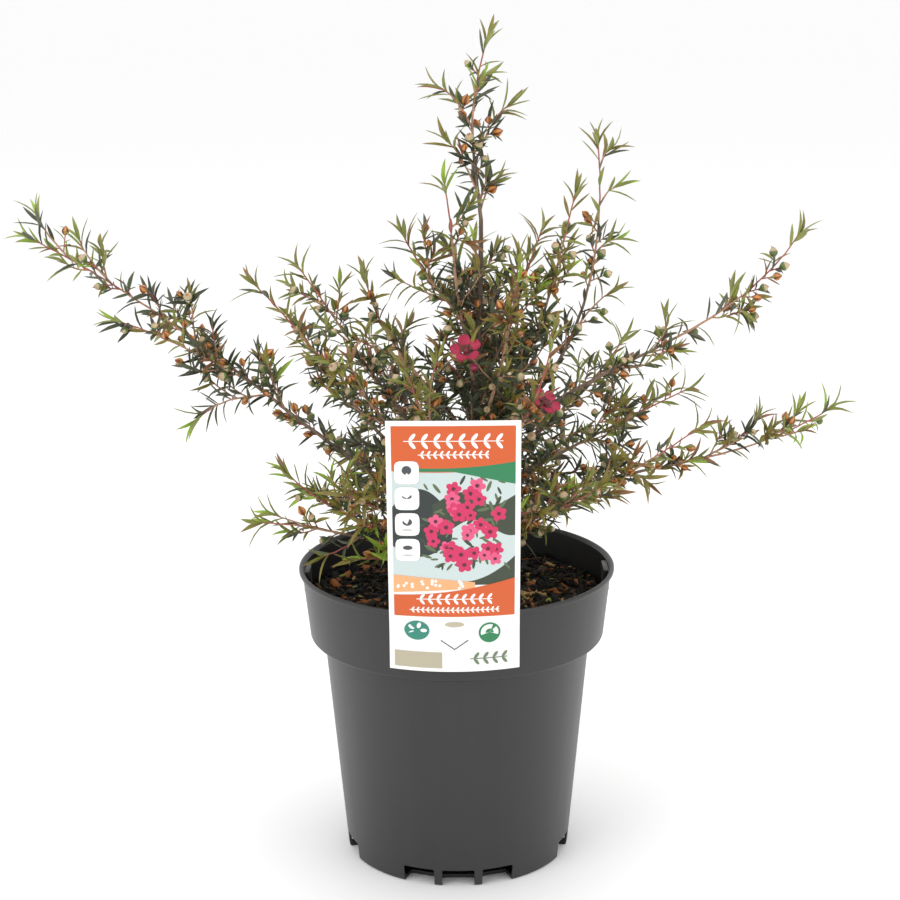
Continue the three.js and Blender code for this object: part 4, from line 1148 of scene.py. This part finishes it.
class TEATREE_OT_pot(bpy.types.Operator):
    """Model the nursery pot with its beaded rim, collar, hanger slots and drain holes"""

    bl_idname = "tea_tree.pot"
    bl_label = "Pot"

    def execute(self, context):
        pot = context.scene.tea_tree_pot
        body = raised_ring_by_ring("pot_shell", self.profile(pot), POT_SIDES)
        self.hangers(body, pot)
        self.drains(body, pot)
        smooth(body, 28)
        body.data.materials.append(plastic_finish("charcoal_plastic", pot.plastic))
        # The second finish is a darker copy of the plastic: painted shade on the inner wall and on the lugs
        # under the rim.
        body.data.materials.append(plastic_finish("shaded_plastic", shade(pot.plastic, 0.4)[:3]))
        for face in body.data.polygons:
            below = pot.height - face.center.z
            inward = face.center.xy.dot(face.normal.xy) < 0
            lug = below < 18 * MM and face.center.xy.length < pot.rim_radius - 4.2 * MM
            face.material_index = int(below > 0.7 * MM and (inward or lug))
        settle(body, "pot_plastic", "pot")
        return {"FINISHED"}

    def profile(self, pot):
        """Points of (radius, height) up the outside, round the bead and down the inside."""
        height, wall, rim = pot.height, pot.wall, pot.rim_radius
        collar_top, collar_foot = rim - COLLAR_TOP_INSET, rim - COLLAR_FOOT_INSET
        body_top, body_foot = rim - BODY_TOP_INSET, rim - BODY_FOOT_INSET
        shoulder = height - pot.collar
        bead = arc((rim - 1.2 * MM, height - 2 * MM), 1.2 * MM, -80, 0, 4)
        bead += arc((rim - 1.2 * MM, height - 1.2 * MM), 1.2 * MM, 0, 150, 8)[1:]
        outside = [
            (body_foot - 6 * MM, 0.0),
            (body_foot - 1.8 * MM, 0.0),
            *arc((body_foot - 1.8 * MM, 1.8 * MM), 1.8 * MM, -60, 0, 3),
            (body_top, shoulder - 2 * MM),
            (body_top + 0.6 * MM, shoulder - 0.4 * MM),
            (collar_foot - 3.2 * MM, shoulder + 0.2 * MM),
            *arc((collar_foot - 2.2 * MM, shoulder + 2.4 * MM), 2.2 * MM, -80, 0, 5),
            (collar_top - 0.1 * MM, height - 3.6 * MM),
        ]
        inside = [
            (collar_top - wall, height - 2.2 * MM),
            (collar_foot - wall, shoulder + 5 * MM),
            (collar_foot - wall - 3.2 * MM, shoulder + 1 * MM),
            (body_top - wall, shoulder - 2 * MM),
            (body_foot - wall, 3 * MM),
            (body_foot - wall - 4 * MM, 2.4 * MM),
        ]
        return outside + bead + inside

    def hangers(self, body, pot):
        """Two slots through the collar, each in a lug on its inner side."""
        collar = pot.rim_radius - COLLAR_TOP_INSET
        level = pot.height - 9 * MM
        for turn in (0, pi):
            lug = block(LUG_BOX, (collar - pot.wall - 2 * MM, 0, level), turn, 0.6 * MM)
            boolean(body, lug, "UNION")
            hole = block(SLOT_BOX, (collar - 2 * MM, 0, level), turn, 0.5 * MM)
            boolean(body, hole, "DIFFERENCE")

    def drains(self, body, pot):
        """Four groups of three drain holes round the foot."""
        foot = pot.rim_radius - BODY_FOOT_INSET
        for quarter in range(4):
            for step in (-1, 0, 1):
                turn = -pi / 2 + quarter * pi / 2 + DRAIN_STEP * step
                hole = block(DRAIN_BOX, (foot, 0, 0), turn, 1 * MM)
                boolean(body, hole, "DIFFERENCE")


def mix_height(x, y, pot):
    """Height of the mix: a crown at the trunk and shallow hollows."""
    reach = hypot(x, y) / pot.rim_radius
    crown = (MIX_HIGH.z - pot.mix_top) * max(0.0, 1 - reach * 1.06)
    waves = sin(61 * x + 2) * cos(47 * y) + 0.5 * sin(133 * x - 91 * y)
    return pot.mix_top - 1.4 * MM + crown + 1.1 * MM * waves * min(1.0, 4 * reach)


# Bark chips: each kind's share and colour, the shares of chips by how much longer they are, a block's
# corners and faces, and how much its roughened corners are pushed out
CHIP_KINDS = ((50, (13, 12, 8)), (24, (30, 26, 16)), (13, (66, 50, 30)), (9, (134, 80, 40)),
              (3.4, (166, 136, 84)), (1, (136, 146, 66)), (0.3, (140, 50, 84)))
CHIP_LENGTHS = {1: 76, 1.7: 20, 2.5: 4}
CHIP_CORNERS = np.array([(x, y, z) for x in (-1, 1) for y in (-1, 1) for z in (-1, 1)], float)
CHIP_FACES = np.array([(0, 1, 3, 2), (4, 6, 7, 5), (0, 4, 5, 1), (2, 3, 7, 6), (0, 2, 6, 4), (1, 5, 7, 3)])
CHIP_SWELL = 0.85
CHIP_SEED = 815


class TEATREE_OT_mix(bpy.types.Operator):
    """Model the potting mix and the bark chips that lie on it"""

    bl_idname = "tea_tree.mix"
    bl_label = "Potting mix"

    def execute(self, context):
        pot = context.scene.tea_tree_pot
        self.bed(pot)
        self.chips(pot)
        return {"FINISHED"}

    def bed(self, pot):
        """The filled inside of the pot, closed all round."""
        shoulder = pot.height - pot.collar
        inner = pot.rim_radius - 8.6 * MM
        wall = [(1 * MM, 2.8 * MM), (pot.rim_radius - 42 * MM, 2.8 * MM),
                (pot.rim_radius - 30 * MM, 14 * MM),
                (pot.rim_radius - 17.8 * MM, shoulder - 4 * MM), (inner - 3.4 * MM, shoulder + 2 * MM),
                (inner, shoulder + 8 * MM), (inner + 1.2 * MM, pot.mix_top - 3 * MM)]
        top = [(inner * share + 1.2 * MM, None) for share in np.linspace(1, 0.02, 34)]
        sides = 120
        turn = 2 * pi * np.arange(sides) / sides
        corners = []
        for radius, height in wall + top:
            for x, y in zip(radius * np.cos(turn), radius * np.sin(turn)):
                corners.append((x, y, mix_height(x, y, pot) if height is None else height))
        rings = len(wall) + len(top)
        corners += [(0, 0, 2.8 * MM), (0, 0, mix_height(0, 0, pot))]
        first = np.arange(sides)
        last = first + (rings - 1) * sides
        sheaf = Sheaf()
        caps = [fan(rings * sides, first), fan(rings * sides + 1, last, False)]
        sheaf.add(corners, [ring_faces(rings, sides), *caps], [0, 0, 0])
        bed = sheaf.piece("mix_bed", [mix_finish("damp_mix", pot.mix, 700)], radians(60))
        settle(bed, "potting_mix", "potting_mix")

    def chips(self, pot):
        """Bark chips, twig bits and crumbs: rough blocks with split corners, strewn by a seeded rule."""
        random = Seeded(CHIP_SEED)
        shares = {kind: share for kind, (share, colour) in enumerate(CHIP_KINDS)}
        reach, edge = pot.rim_radius - 9.5 * MM, pot.rim_radius - 8.2 * MM
        sheaf = Sheaf()
        for index in range(pot.chips):
            radius = reach * sqrt(random.value())
            turn = 2 * pi * random.value()
            x, y = radius * cos(turn), radius * sin(turn)
            if radius < 7 * MM:
                continue
            shape = self.chip(random)
            corners = shape + (x, y, mix_height(x, y, pot) + random.between(-0.3, 1.5) * MM)
            far = np.hypot(corners[:, 0], corners[:, 1])
            corners[:, :2] *= np.minimum(1, edge / far)[:, None]
            sheaf.add(corners, [CHIP_FACES], [random.pick(shares)])
        finishes = [mix_finish(f"bark_chip_{kind + 1}", tint(*colour), 900)
                    for kind, (share, colour) in enumerate(CHIP_KINDS)]
        settle(sheaf.piece("mix_chips", finishes), "potting_mix")

    def chip(self, random):
        """Corners of one chip about its own centre."""
        long = random.between(1.5, 3) * MM * random.pick(CHIP_LENGTHS)
        size = np.array([long, long * random.between(0.28, 0.65), long * random.between(0.1, 0.34)])
        rough = np.array([[random.between(0.62, 1.1) for axis in range(3)] for corner in range(8)])
        yaw, tilt, roll = random.between(-pi, pi), random.between(-0.5, 0.5), random.between(-0.5, 0.5)
        return CHIP_CORNERS * size * CHIP_SWELL * rough @ rotation(yaw, tilt, roll).T


def rotation(yaw, tilt, roll):
    """Rotation matrix for a turn about X, then Y, then Z."""
    cz, sz, cy, sy, cx, sx = cos(yaw), sin(yaw), cos(tilt), sin(tilt), cos(roll), sin(roll)
    about_z = np.array([[cz, -sz, 0], [sz, cz, 0], [0, 0, 1]])
    about_y = np.array([[cy, 0, sy], [0, 1, 0], [-sy, 0, cy]])
    about_x = np.array([[1, 0, 0], [0, cx, -sx], [0, sx, cx]])
    return about_z @ about_y @ about_x


# The height of the label's bend, its tongue, the rows of its printed patches, and the seeds of its
# flowers and dots
LABEL_BEND = 176 * MM
TONGUE_WIDTH = 30 * MM
TONGUE_FOOT = 172 * MM
PRINT_ROWS = 14
PRINT_SEEDS = (907, 911)


def card_point(across, height, out, lean):
    """A point on the label's front: wrapped round the collar below its bend, flat and leaning above."""
    rise = max(0.0, height - LABEL_BEND)
    flat = exp(-rise / (26 * MM))
    bow = (0.1 + 0.9 * flat) * across**2 / (2 * POT_HIGH.x)
    ripple = 0.25 * MM * sin(height * 90) * (1 - flat)
    forward = POT_HIGH.x + 0.4 * MM + out + rise * tan(lean) - bow + ripple
    return (LABEL_CENTRE + across, -forward, height)


class Print:
    """Flat shapes laid on the card, each a hair above the one before, all given in millimetres."""

    def __init__(self, label):
        self.label = label
        self.sheaf = Sheaf()
        self.colours = []
        self.layer = 0

    def ink(self, colour):
        if colour not in self.colours:
            self.colours.append(colour)
        return self.colours.index(colour)

    def point(self, across, height):
        """A point of the layer that is being laid."""
        out = self.label.card + (0.02 + 0.012 * self.layer) * MM
        return card_point(across * MM, height * MM, out, self.label.lean)

    def lay(self, below, above, colour):
        """A patch between two rows of points (across, height), subdivided up the card."""
        self.layer += 1
        low, high = np.array(below), np.array(above)
        places = low + (high - low) * np.linspace(0, 1, PRINT_ROWS)[:, None, None]
        corners = [self.point(u, v) for u, v in places.reshape(-1, 2)]
        self.sheaf.add(corners, [grid_faces(PRINT_ROWS, len(low))], [self.ink(colour)])

    def band(self, left, right, low, high, colour):
        """A patch whose lower and upper edges are functions of the place across the card."""
        across = np.linspace(left, right, 30)
        self.lay([(u, low(u)) for u in across], [(u, high(u)) for u in across], colour)

    def disc(self, across, height, radius, colour, slim=1.0, turn=0.0, corners=14, square=2.0):
        """An ellipse, or a rounded square where square is over 2."""
        self.layer += 0.02
        places = []
        for i in range(corners):
            angle = 2 * pi * (i + 0.5) / corners
            c, s = cos(angle), sin(angle)
            reach = radius / (abs(c) ** square + abs(s) ** square) ** (1 / square)
            u, v = reach * c, reach * s * slim
            places.append((across + u * cos(turn) - v * sin(turn), height + u * sin(turn) + v * cos(turn)))
        places.append((across, height))
        points = [self.point(u, v) for u, v in places]
        self.sheaf.add(points, [fan(corners, np.arange(corners), False)], [self.ink(colour)])

    def flower(self, across, height, radius, colour, heart, turn):
        for i in range(PETALS):
            angle = turn + 2 * pi * i / PETALS
            self.disc(across + 0.56 * radius * cos(angle), height + 0.56 * radius * sin(angle),
                      0.46 * radius, colour, slim=0.86, turn=angle, corners=10)
        self.disc(across, height, 0.26 * radius, heart, corners=10)

    def sprig(self, left, right, height, leaf, colour):
        """A plain line with pairs of leaves along it."""
        self.band(left, right, lambda u: height - 0.25, lambda u: height + 0.25, colour)
        count = int((right - left) / (leaf * 1.15))
        for i in range(count):
            across = left + (i + 0.7) * (right - left) / count
            for way in (-1, 1):
                self.disc(across, height + way * leaf * 0.42, leaf / 2, colour, slim=0.4,
                          turn=way * 0.9, corners=10)


class TEATREE_OT_label(bpy.types.Operator):
    """Model the plant label: a bent card with plain printed panels and a tongue over the rim"""

    bl_idname = "tea_tree.label"
    bl_label = "Label"

    def execute(self, context):
        label = context.scene.tea_tree_label
        card = self.card(label)
        card.data.materials.append(card_finish("label_card", label.paper))
        settle(card, "label_card", "label")
        printed = self.printed(label)
        finishes = [card_finish(f"label_ink_{i + 1}", colour) for i, colour in enumerate(printed.colours)]
        settle(printed.sheaf.piece("label_print", finishes), "label_card")
        return {"FINISHED"}

    def card(self, label):
        """A grid bent to the card's shape and another to its tongue's, made thick and joined."""
        deselect_all()
        bpy.ops.mesh.primitive_grid_add(x_subdivisions=24, y_subdivisions=48, size=2)
        card = bpy.context.object
        card.name = card.data.name = "label_card"
        foot, top = LABEL_LOW.z, LABEL_HIGH.z
        for corner in card.data.vertices:
            across = corner.co.x * label.width / 2
            height = foot + (top - foot) * (corner.co.y + 1) / 2
            corner.co = card_point(across, height, 0, label.lean)
        deselect_all()
        bpy.ops.mesh.primitive_grid_add(x_subdivisions=8, y_subdivisions=18, size=2)
        tongue = bpy.context.object
        rim = POT_HIGH.z + 0.5 * MM
        inside = POT_HIGH.x - 6.4 * MM
        outside = POT_HIGH.x + 1.4 * MM
        route = np.array([(outside, rim), (inside + 1.6 * MM, rim), (inside, rim - 1.4 * MM),
                          (inside, TONGUE_FOOT)])
        gone = np.concatenate([[0], np.cumsum(np.hypot(*np.diff(route, axis=0).T))])
        for corner in tongue.data.vertices:
            at = gone[-1] * (corner.co.y + 1) / 2
            out, height = (np.interp(at, gone, places) for places in route.T)
            across = corner.co.x * TONGUE_WIDTH / 2
            corner.co = (LABEL_CENTRE + across, -out + across**2 / (2 * POT_HIGH.x), height)
        for piece, offset in ((tongue, 0), (card, 1)):
            activate(piece)
            change = piece.modifiers.new("thickness", "SOLIDIFY")
            change.thickness = label.card
            change.offset = offset
            bpy.ops.object.modifier_apply(modifier=change.name)
        tongue.select_set(True)
        bpy.ops.object.join()
        smooth(card, 40)
        return card

    def printed(self, label):
        """Plain panels, tiles and simple flowers: a generic design."""
        made = Print(label)
        half = label.width / MM / 2 - 3
        self.picture(made, label, half)
        self.bands(made, label, half)
        self.tiles(made, label)
        return made

    def picture(self, made, label, half):
        """Loose heaps of flowers among dark leaves, before a pale sky."""
        pink, rose, heart = label.petal[:], tint(222, 84, 128), tint(84, 16, 40)
        leafy, deep, sky = tint(52, 62, 44), tint(36, 46, 44), tint(196, 210, 208)
        made.band(-half, half, lambda u: 210, lambda u: 284, sky)
        made.band(-half, -1, lambda u: 226 + 0.03 * (u + 20) ** 2, lambda u: 268 - 0.05 * (u + 20) ** 2, deep)
        made.band(4, half, lambda u: 208, lambda u: 210 + 0.017 * (u - 4) ** 2, leafy)
        made.band(-12, half, lambda u: 244 + 5 * sin(u / 7), lambda u: 262 + 4 * sin(u / 6 + 1), leafy)
        random = Seeded(PRINT_SEEDS[0])
        for i in range(70):
            across, height = random.between(-20, half - 4), random.between(218, 274)
            made.disc(across, height, random.between(2.2, 4), tint(88, 104, 70) if i % 3 else leafy,
                      slim=0.28, turn=random.value() * pi, corners=10)
        for i in range(30):
            share = i / 30
            across = -14 + 40 * random.value()
            height = 268 - 46 * share - 0.014 * (across - 6) ** 2 + random.between(-3, 3)
            made.flower(across, height, random.between(3.8, 5.2), rose if i % 3 == 0 else pink, heart,
                        random.value() * 2)

    def bands(self, made, label, half):
        """Curved bands above and below the picture, with plain sprigs on them."""
        white, band, wedge, pale = label.paper[:], label.band[:], label.wedge[:], tint(236, 170, 118)
        made.band(-half, half, lambda u: 278 + 0.0016 * (u + 10) ** 2, lambda u: 306, band)
        made.band(-half + 1, half, lambda u: 278.5 - 0.22 * max(0, u),
                  lambda u: 280.5 + 0.002 * (u + 10) ** 2, wedge)
        made.band(-half, 12, lambda u: 203 + 0.06 * (u + half), lambda u: 214.5 - 0.1 * (u + half), pale)
        random = Seeded(PRINT_SEEDS[1])
        for i in range(22):
            made.disc(-half + 2 + 38 * random.value(), 206 + 5 * random.value(), 0.9, white, corners=8)
        made.band(-half, half, lambda u: 187.6, lambda u: 201.5 + 0.0022 * (u + half) ** 2, band)
        made.sprig(-28, 28, 297, 5.6, white)
        made.sprig(-20, 20, 288.8, 3, white)
        made.sprig(-22, 22, 199, 4.2, white)
        made.sprig(-26, 26, 192, 2.4, white)

    def tiles(self, made, label):
        """White tiles with round marks at the left of the picture, and plain motifs on the foot."""
        white, wedge, slate = label.paper[:], label.wedge[:], tint(66, 70, 76)
        for i in range(4):
            height = 278 - 15.9 * i
            made.disc(-26.5, height, 7, white, corners=28, square=5)
            made.disc(-26.5, height + 1.4, 2.8, slate, corners=16, slim=(1, 0.6, 0.8, 0.5)[i])
            made.disc(-26.5, height - 3.4, 3.2, tint(196, 196, 194), corners=10, slim=0.22)
        made.disc(-22, 178.5, 7.4, tint(40, 130, 112), corners=24, slim=0.84)
        for i in range(5):
            turn = 2 * pi * i / 5
            made.disc(-22 + 4 * cos(turn), 178.5 + 3.4 * sin(turn), 2, white, corners=10, slim=0.6,
                      turn=turn)
        made.disc(20.5, 177, 6.4, wedge, corners=24)
        made.disc(20.5, 177, 5.2, white, corners=24)
        made.disc(20.5, 177, 2.4, wedge, corners=14)
        made.disc(0, 182.6, 5.6, tint(186, 176, 152), corners=20, slim=0.3)
        made.band(-35.2, -7.4, lambda u: 155.2, lambda u: 165, tint(178, 170, 146))
        for side in (-1, 1):
            made.lay([(side * 8, 172.2), (0, 166.6)], [(side * 8, 172.9), (0, 167.3)], slate)
        made.sprig(9, 31, 161, 4.6, tint(104, 122, 96))


# Trunk, boughs and crown


def bark_relief(points, seed):
    """Ridges that run along a limb and drift round it, as a factor on its radius."""
    random = Seeded(seed)
    ridges = [(count, 2 * pi * random.value(), random.between(-0.14, 0.14), random.between(0.5, 1))
              for count in (3, 5, 8, 11, 17)]
    knots = [1 + 0.09 * max(0, sin(0.7 * ring + 6 * random.value())) ** 6 for ring in range(len(points))]

    def relief(ring, turn):
        level = sum(weight * np.sin(count * turn + start + drift * ring) / sqrt(count)
                    for count, start, drift, weight in ridges)
        return (1 + 0.055 * level + 0.02 * sin(1.9 * ring)) * knots[ring]

    return relief


class TEATREE_OT_limbs(bpy.types.Operator):
    """Model the trunk and the bare boughs with their bark"""

    bl_idname = "tea_tree.limbs"
    bl_label = "Trunk and boughs"

    def execute(self, context):
        plant = context.scene.tea_tree_plant
        sheaf = Sheaf()
        heights = np.linspace(TRUNK_FOOT - 4, TRUNK_TOP, 170)
        points = [trunk_point(height) for height in heights]
        radii = np.array([trunk_radius(height) for height in heights])
        tube(sheaf, points, radii, 30, 0, bark_relief(points, 31))
        boughs = [shoot for shoot in SHOOTS if shoot.bough]
        for index, shoot in enumerate(boughs):
            line = StemLine(shoot_controls(shoot), BARK_STEP, 0, shoot.bough)
            shares = np.linspace(0, 1, line.steps + 1)
            collar = 0.7 * np.exp(-shares * line.length / (4 * MM))
            radii = (shoot.radius + (BOUGH_END - shoot.radius) * shares + collar) * MM
            tube(sheaf, line.points, radii, 16, 0, bark_relief(line.points, 53 + 7 * index))
        limbs = sheaf.piece("trunk_and_boughs", [bark_finish("old_bark", plant.bark, 900, 0.55)], radians(70))
        settle(limbs, "bark", "trunk", *(f"bough_{shoot.name}" for shoot in boughs))
        return {"FINISHED"}


# Name, colour and share of light left in the cracks of each stem finish, then name, colour and roughness
# of each bud finish
STEM_FINISHES = (("stem_bark", (128, 108, 92), 0.7), ("twig_bark", (172, 132, 106), 0.78),
                 ("young_twig", (160, 92, 82), 0.8))
BUD_FINISHES = (("bud_cup", (96, 116, 58), 0.4), ("bud_dome", (186, 164, 128), 0.4),
                ("bud_dome_tip", (160, 112, 84), 0.4), ("bud_tip", (96, 52, 26), 0.4),
                # The paler husk finish is partly the husk's streaks and partly a painted highlight.
                ("bud_husk", (126, 66, 24), 0.3), ("bud_husk_pale", (194, 130, 62), 0.3),
                ("bud_pink", (176, 52, 92), 0.4))


class TEATREE_OT_crown(bpy.types.Operator):
    """Grow the twigs, leaves, buds and flowers of the whole crown"""

    bl_idname = "tea_tree.crown"
    bl_label = "Crown"

    def execute(self, context):
        plant = context.scene.tea_tree_plant
        leaf_inks = self.leaf_finishes(plant)
        stem_inks = [bark_finish(name, tint(*colour), 900, dark) for name, colour, dark in STEM_FINISHES]
        bud_inks = [leaf_finish(name, tint(*colour), rough) for name, colour, rough in BUD_FINISHES]
        for region, growth in grow_plant(plant).items():
            leaves = Sheaf()
            leaf_mesh(leaves, growth.leaves)
            made = leaves.piece(f"leaves_{region}", leaf_inks, radians(25))
            settle(made, "foliage", *growth.nodes)
            settle(growth.stems.piece(f"twigs_{region}", stem_inks, radians(50)), "bark")
            buds = Sheaf()
            for root, heading, length, kind in growth.buds:
                bud_mesh(buds, root, heading, length, kind)
            settle(buds.piece(f"buds_{region}", bud_inks, radians(50)), "foliage")
            for index, (centre, axis) in enumerate(growth.blossoms):
                self.blossom(f"blossom_{region}_{index + 1}", centre, axis, plant)
        return {"FINISHED"}

    def leaf_finishes(self, plant):
        leaf, young = plant.leaf, plant.young
        return [leaf_finish("leaf_dark", shade(leaf, 0.62)[:3]),
                leaf_finish("leaf_grey", tint(72, 78, 54)),
                leaf_finish("leaf_green", shade(leaf, 1.35)[:3]),
                leaf_finish("leaf_olive", tint(124, 113, 42)),
                leaf_finish("leaf_lime", young[:]),
                leaf_finish("leaf_bronze", tint(134, 94, 56)),
                leaf_finish("leaf_underside", tint(88, 90, 70)),
                leaf_finish("young_underside", tint(134, 140, 68))]

    def blossom(self, name, centre, axis, plant):
        sheaf = Sheaf()
        blossom_mesh(sheaf, centre, axis, plant.petal_length, Seeded(BLOSSOM_SEED))
        petal = plant.petal[:]
        finishes = [leaf_finish("petal", petal), leaf_finish("flower_heart", shade(petal, 0.35)[:3]),
                    leaf_finish("stamen", tint(214, 120, 130)), leaf_finish("anther", tint(120, 70, 50))]
        settle(sheaf.piece(name, finishes, radians(50)), "foliage")


# Stage


# Where the camera looks
AIM_ACROSS = -3.65 * MM
AIM_HEIGHT = 261.3 * MM


class TEATREE_OT_stage(bpy.types.Operator):
    """Set the camera, the soft lights and the pale floor"""

    bl_idname = "tea_tree.stage"
    bl_label = "Stage"

    def execute(self, context):
        stage = context.scene.tea_tree_stage
        self.camera(stage)
        self.floor(stage)
        self.lights(stage)
        return {"FINISHED"}

    def camera(self, stage):
        level = stage.elevation
        place = Vector((0, 0, AIM_HEIGHT)) + stage.distance * Vector((0, -cos(level), sin(level)))
        aim = Vector((AIM_ACROSS, 0, AIM_HEIGHT))
        deselect_all()
        bpy.ops.object.camera_add(location=place)
        camera = bpy.context.object
        camera.rotation_euler = (aim - place).to_track_quat("-Z", "Y").to_euler()
        camera.rotation_euler.rotate_axis("Z", -stage.roll)
        camera.data.lens = stage.lens
        camera.data.sensor_width = 36
        camera.data.clip_start = 0.05
        bpy.context.scene.camera = camera

    def floor(self, stage):
        """A wide pale floor."""
        deselect_all()
        bpy.ops.mesh.primitive_plane_add(size=60, location=(0, 0, 0))
        floor = bpy.context.object
        floor.name = "floor"
        finish = Finish("pale_floor", stage.floor, 0.6)
        grain = finish.noise(3, detail=2)
        finish.drive("Roughness", 0.55 + 0.1 * grain)
        floor.data.materials.append(finish.material)

    def lights(self, stage):
        """A broad key from the front left, a fill from the right, and an even pale surround."""
        rows = (("key", (-1.5, -1.5, 1.9), 1.6, 1.0), ("fill", (1.7, -1.2, 1.1), 1.6, 0.4),
                ("top", (0.2, 0.3, 2.4), 1.8, 0.7))
        for name, place, size, share in rows:
            bpy.ops.object.light_add(type="AREA", location=place)
            light = bpy.context.object
            light.name = name
            light.data.shape = "DISK"
            light.data.size = size
            light.data.energy = stage.key_power * share
            aim = Vector((0, 0, 0.25)) - Vector(place)
            light.rotation_euler = aim.to_track_quat("-Z", "Y").to_euler()
        world = bpy.data.worlds.new("studio")
        world.use_nodes = True
        world.node_tree.nodes["Background"].inputs["Color"].default_value = (1, 1, 1, 1)
        world.node_tree.nodes["Background"].inputs["Strength"].default_value = 1
        bpy.context.scene.world = world
        bpy.context.scene.view_settings.view_transform = "Standard"


OPERATORS = (TEATREE_OT_stage, TEATREE_OT_pot, TEATREE_OT_mix, TEATREE_OT_label, TEATREE_OT_limbs,
             TEATREE_OT_crown)


class TEATREE_PT_panel(bpy.types.Panel):
    """Lists the pieces and their settings"""

    bl_label = "Potted tea tree"
    bl_idname = "TEATREE_PT_panel"
    bl_space_type = "VIEW_3D"
    bl_region_type = "UI"
    bl_category = "Tea Tree"

    def draw(self, context):
        for operator in OPERATORS:
            self.layout.operator(operator.bl_idname)
        for key in SETTINGS:
            group = getattr(context.scene, key)
            for name in group.__annotations__:
                self.layout.prop(group, name)


SETTINGS = {"tea_tree_pot": PotSettings, "tea_tree_label": LabelSettings, "tea_tree_plant": PlantSettings,
            "tea_tree_stage": StageSettings}
CLASSES = (*SETTINGS.values(), *OPERATORS, TEATREE_PT_panel)


def register():
    for made in CLASSES:
        bpy.utils.register_class(made)
    for key, group in SETTINGS.items():
        setattr(bpy.types.Scene, key, PointerProperty(type=group))


def unregister():
    for key in SETTINGS:
        delattr(bpy.types.Scene, key)
    for made in reversed(CLASSES):
        bpy.utils.unregister_class(made)


def main():
    register()
    bpy.ops.tea_tree.stage()
    bpy.ops.tea_tree.pot()
    bpy.ops.tea_tree.mix()
    bpy.ops.tea_tree.label()
    bpy.ops.tea_tree.limbs()
    bpy.ops.tea_tree.crown()


if __name__ == "__main__":
    main()
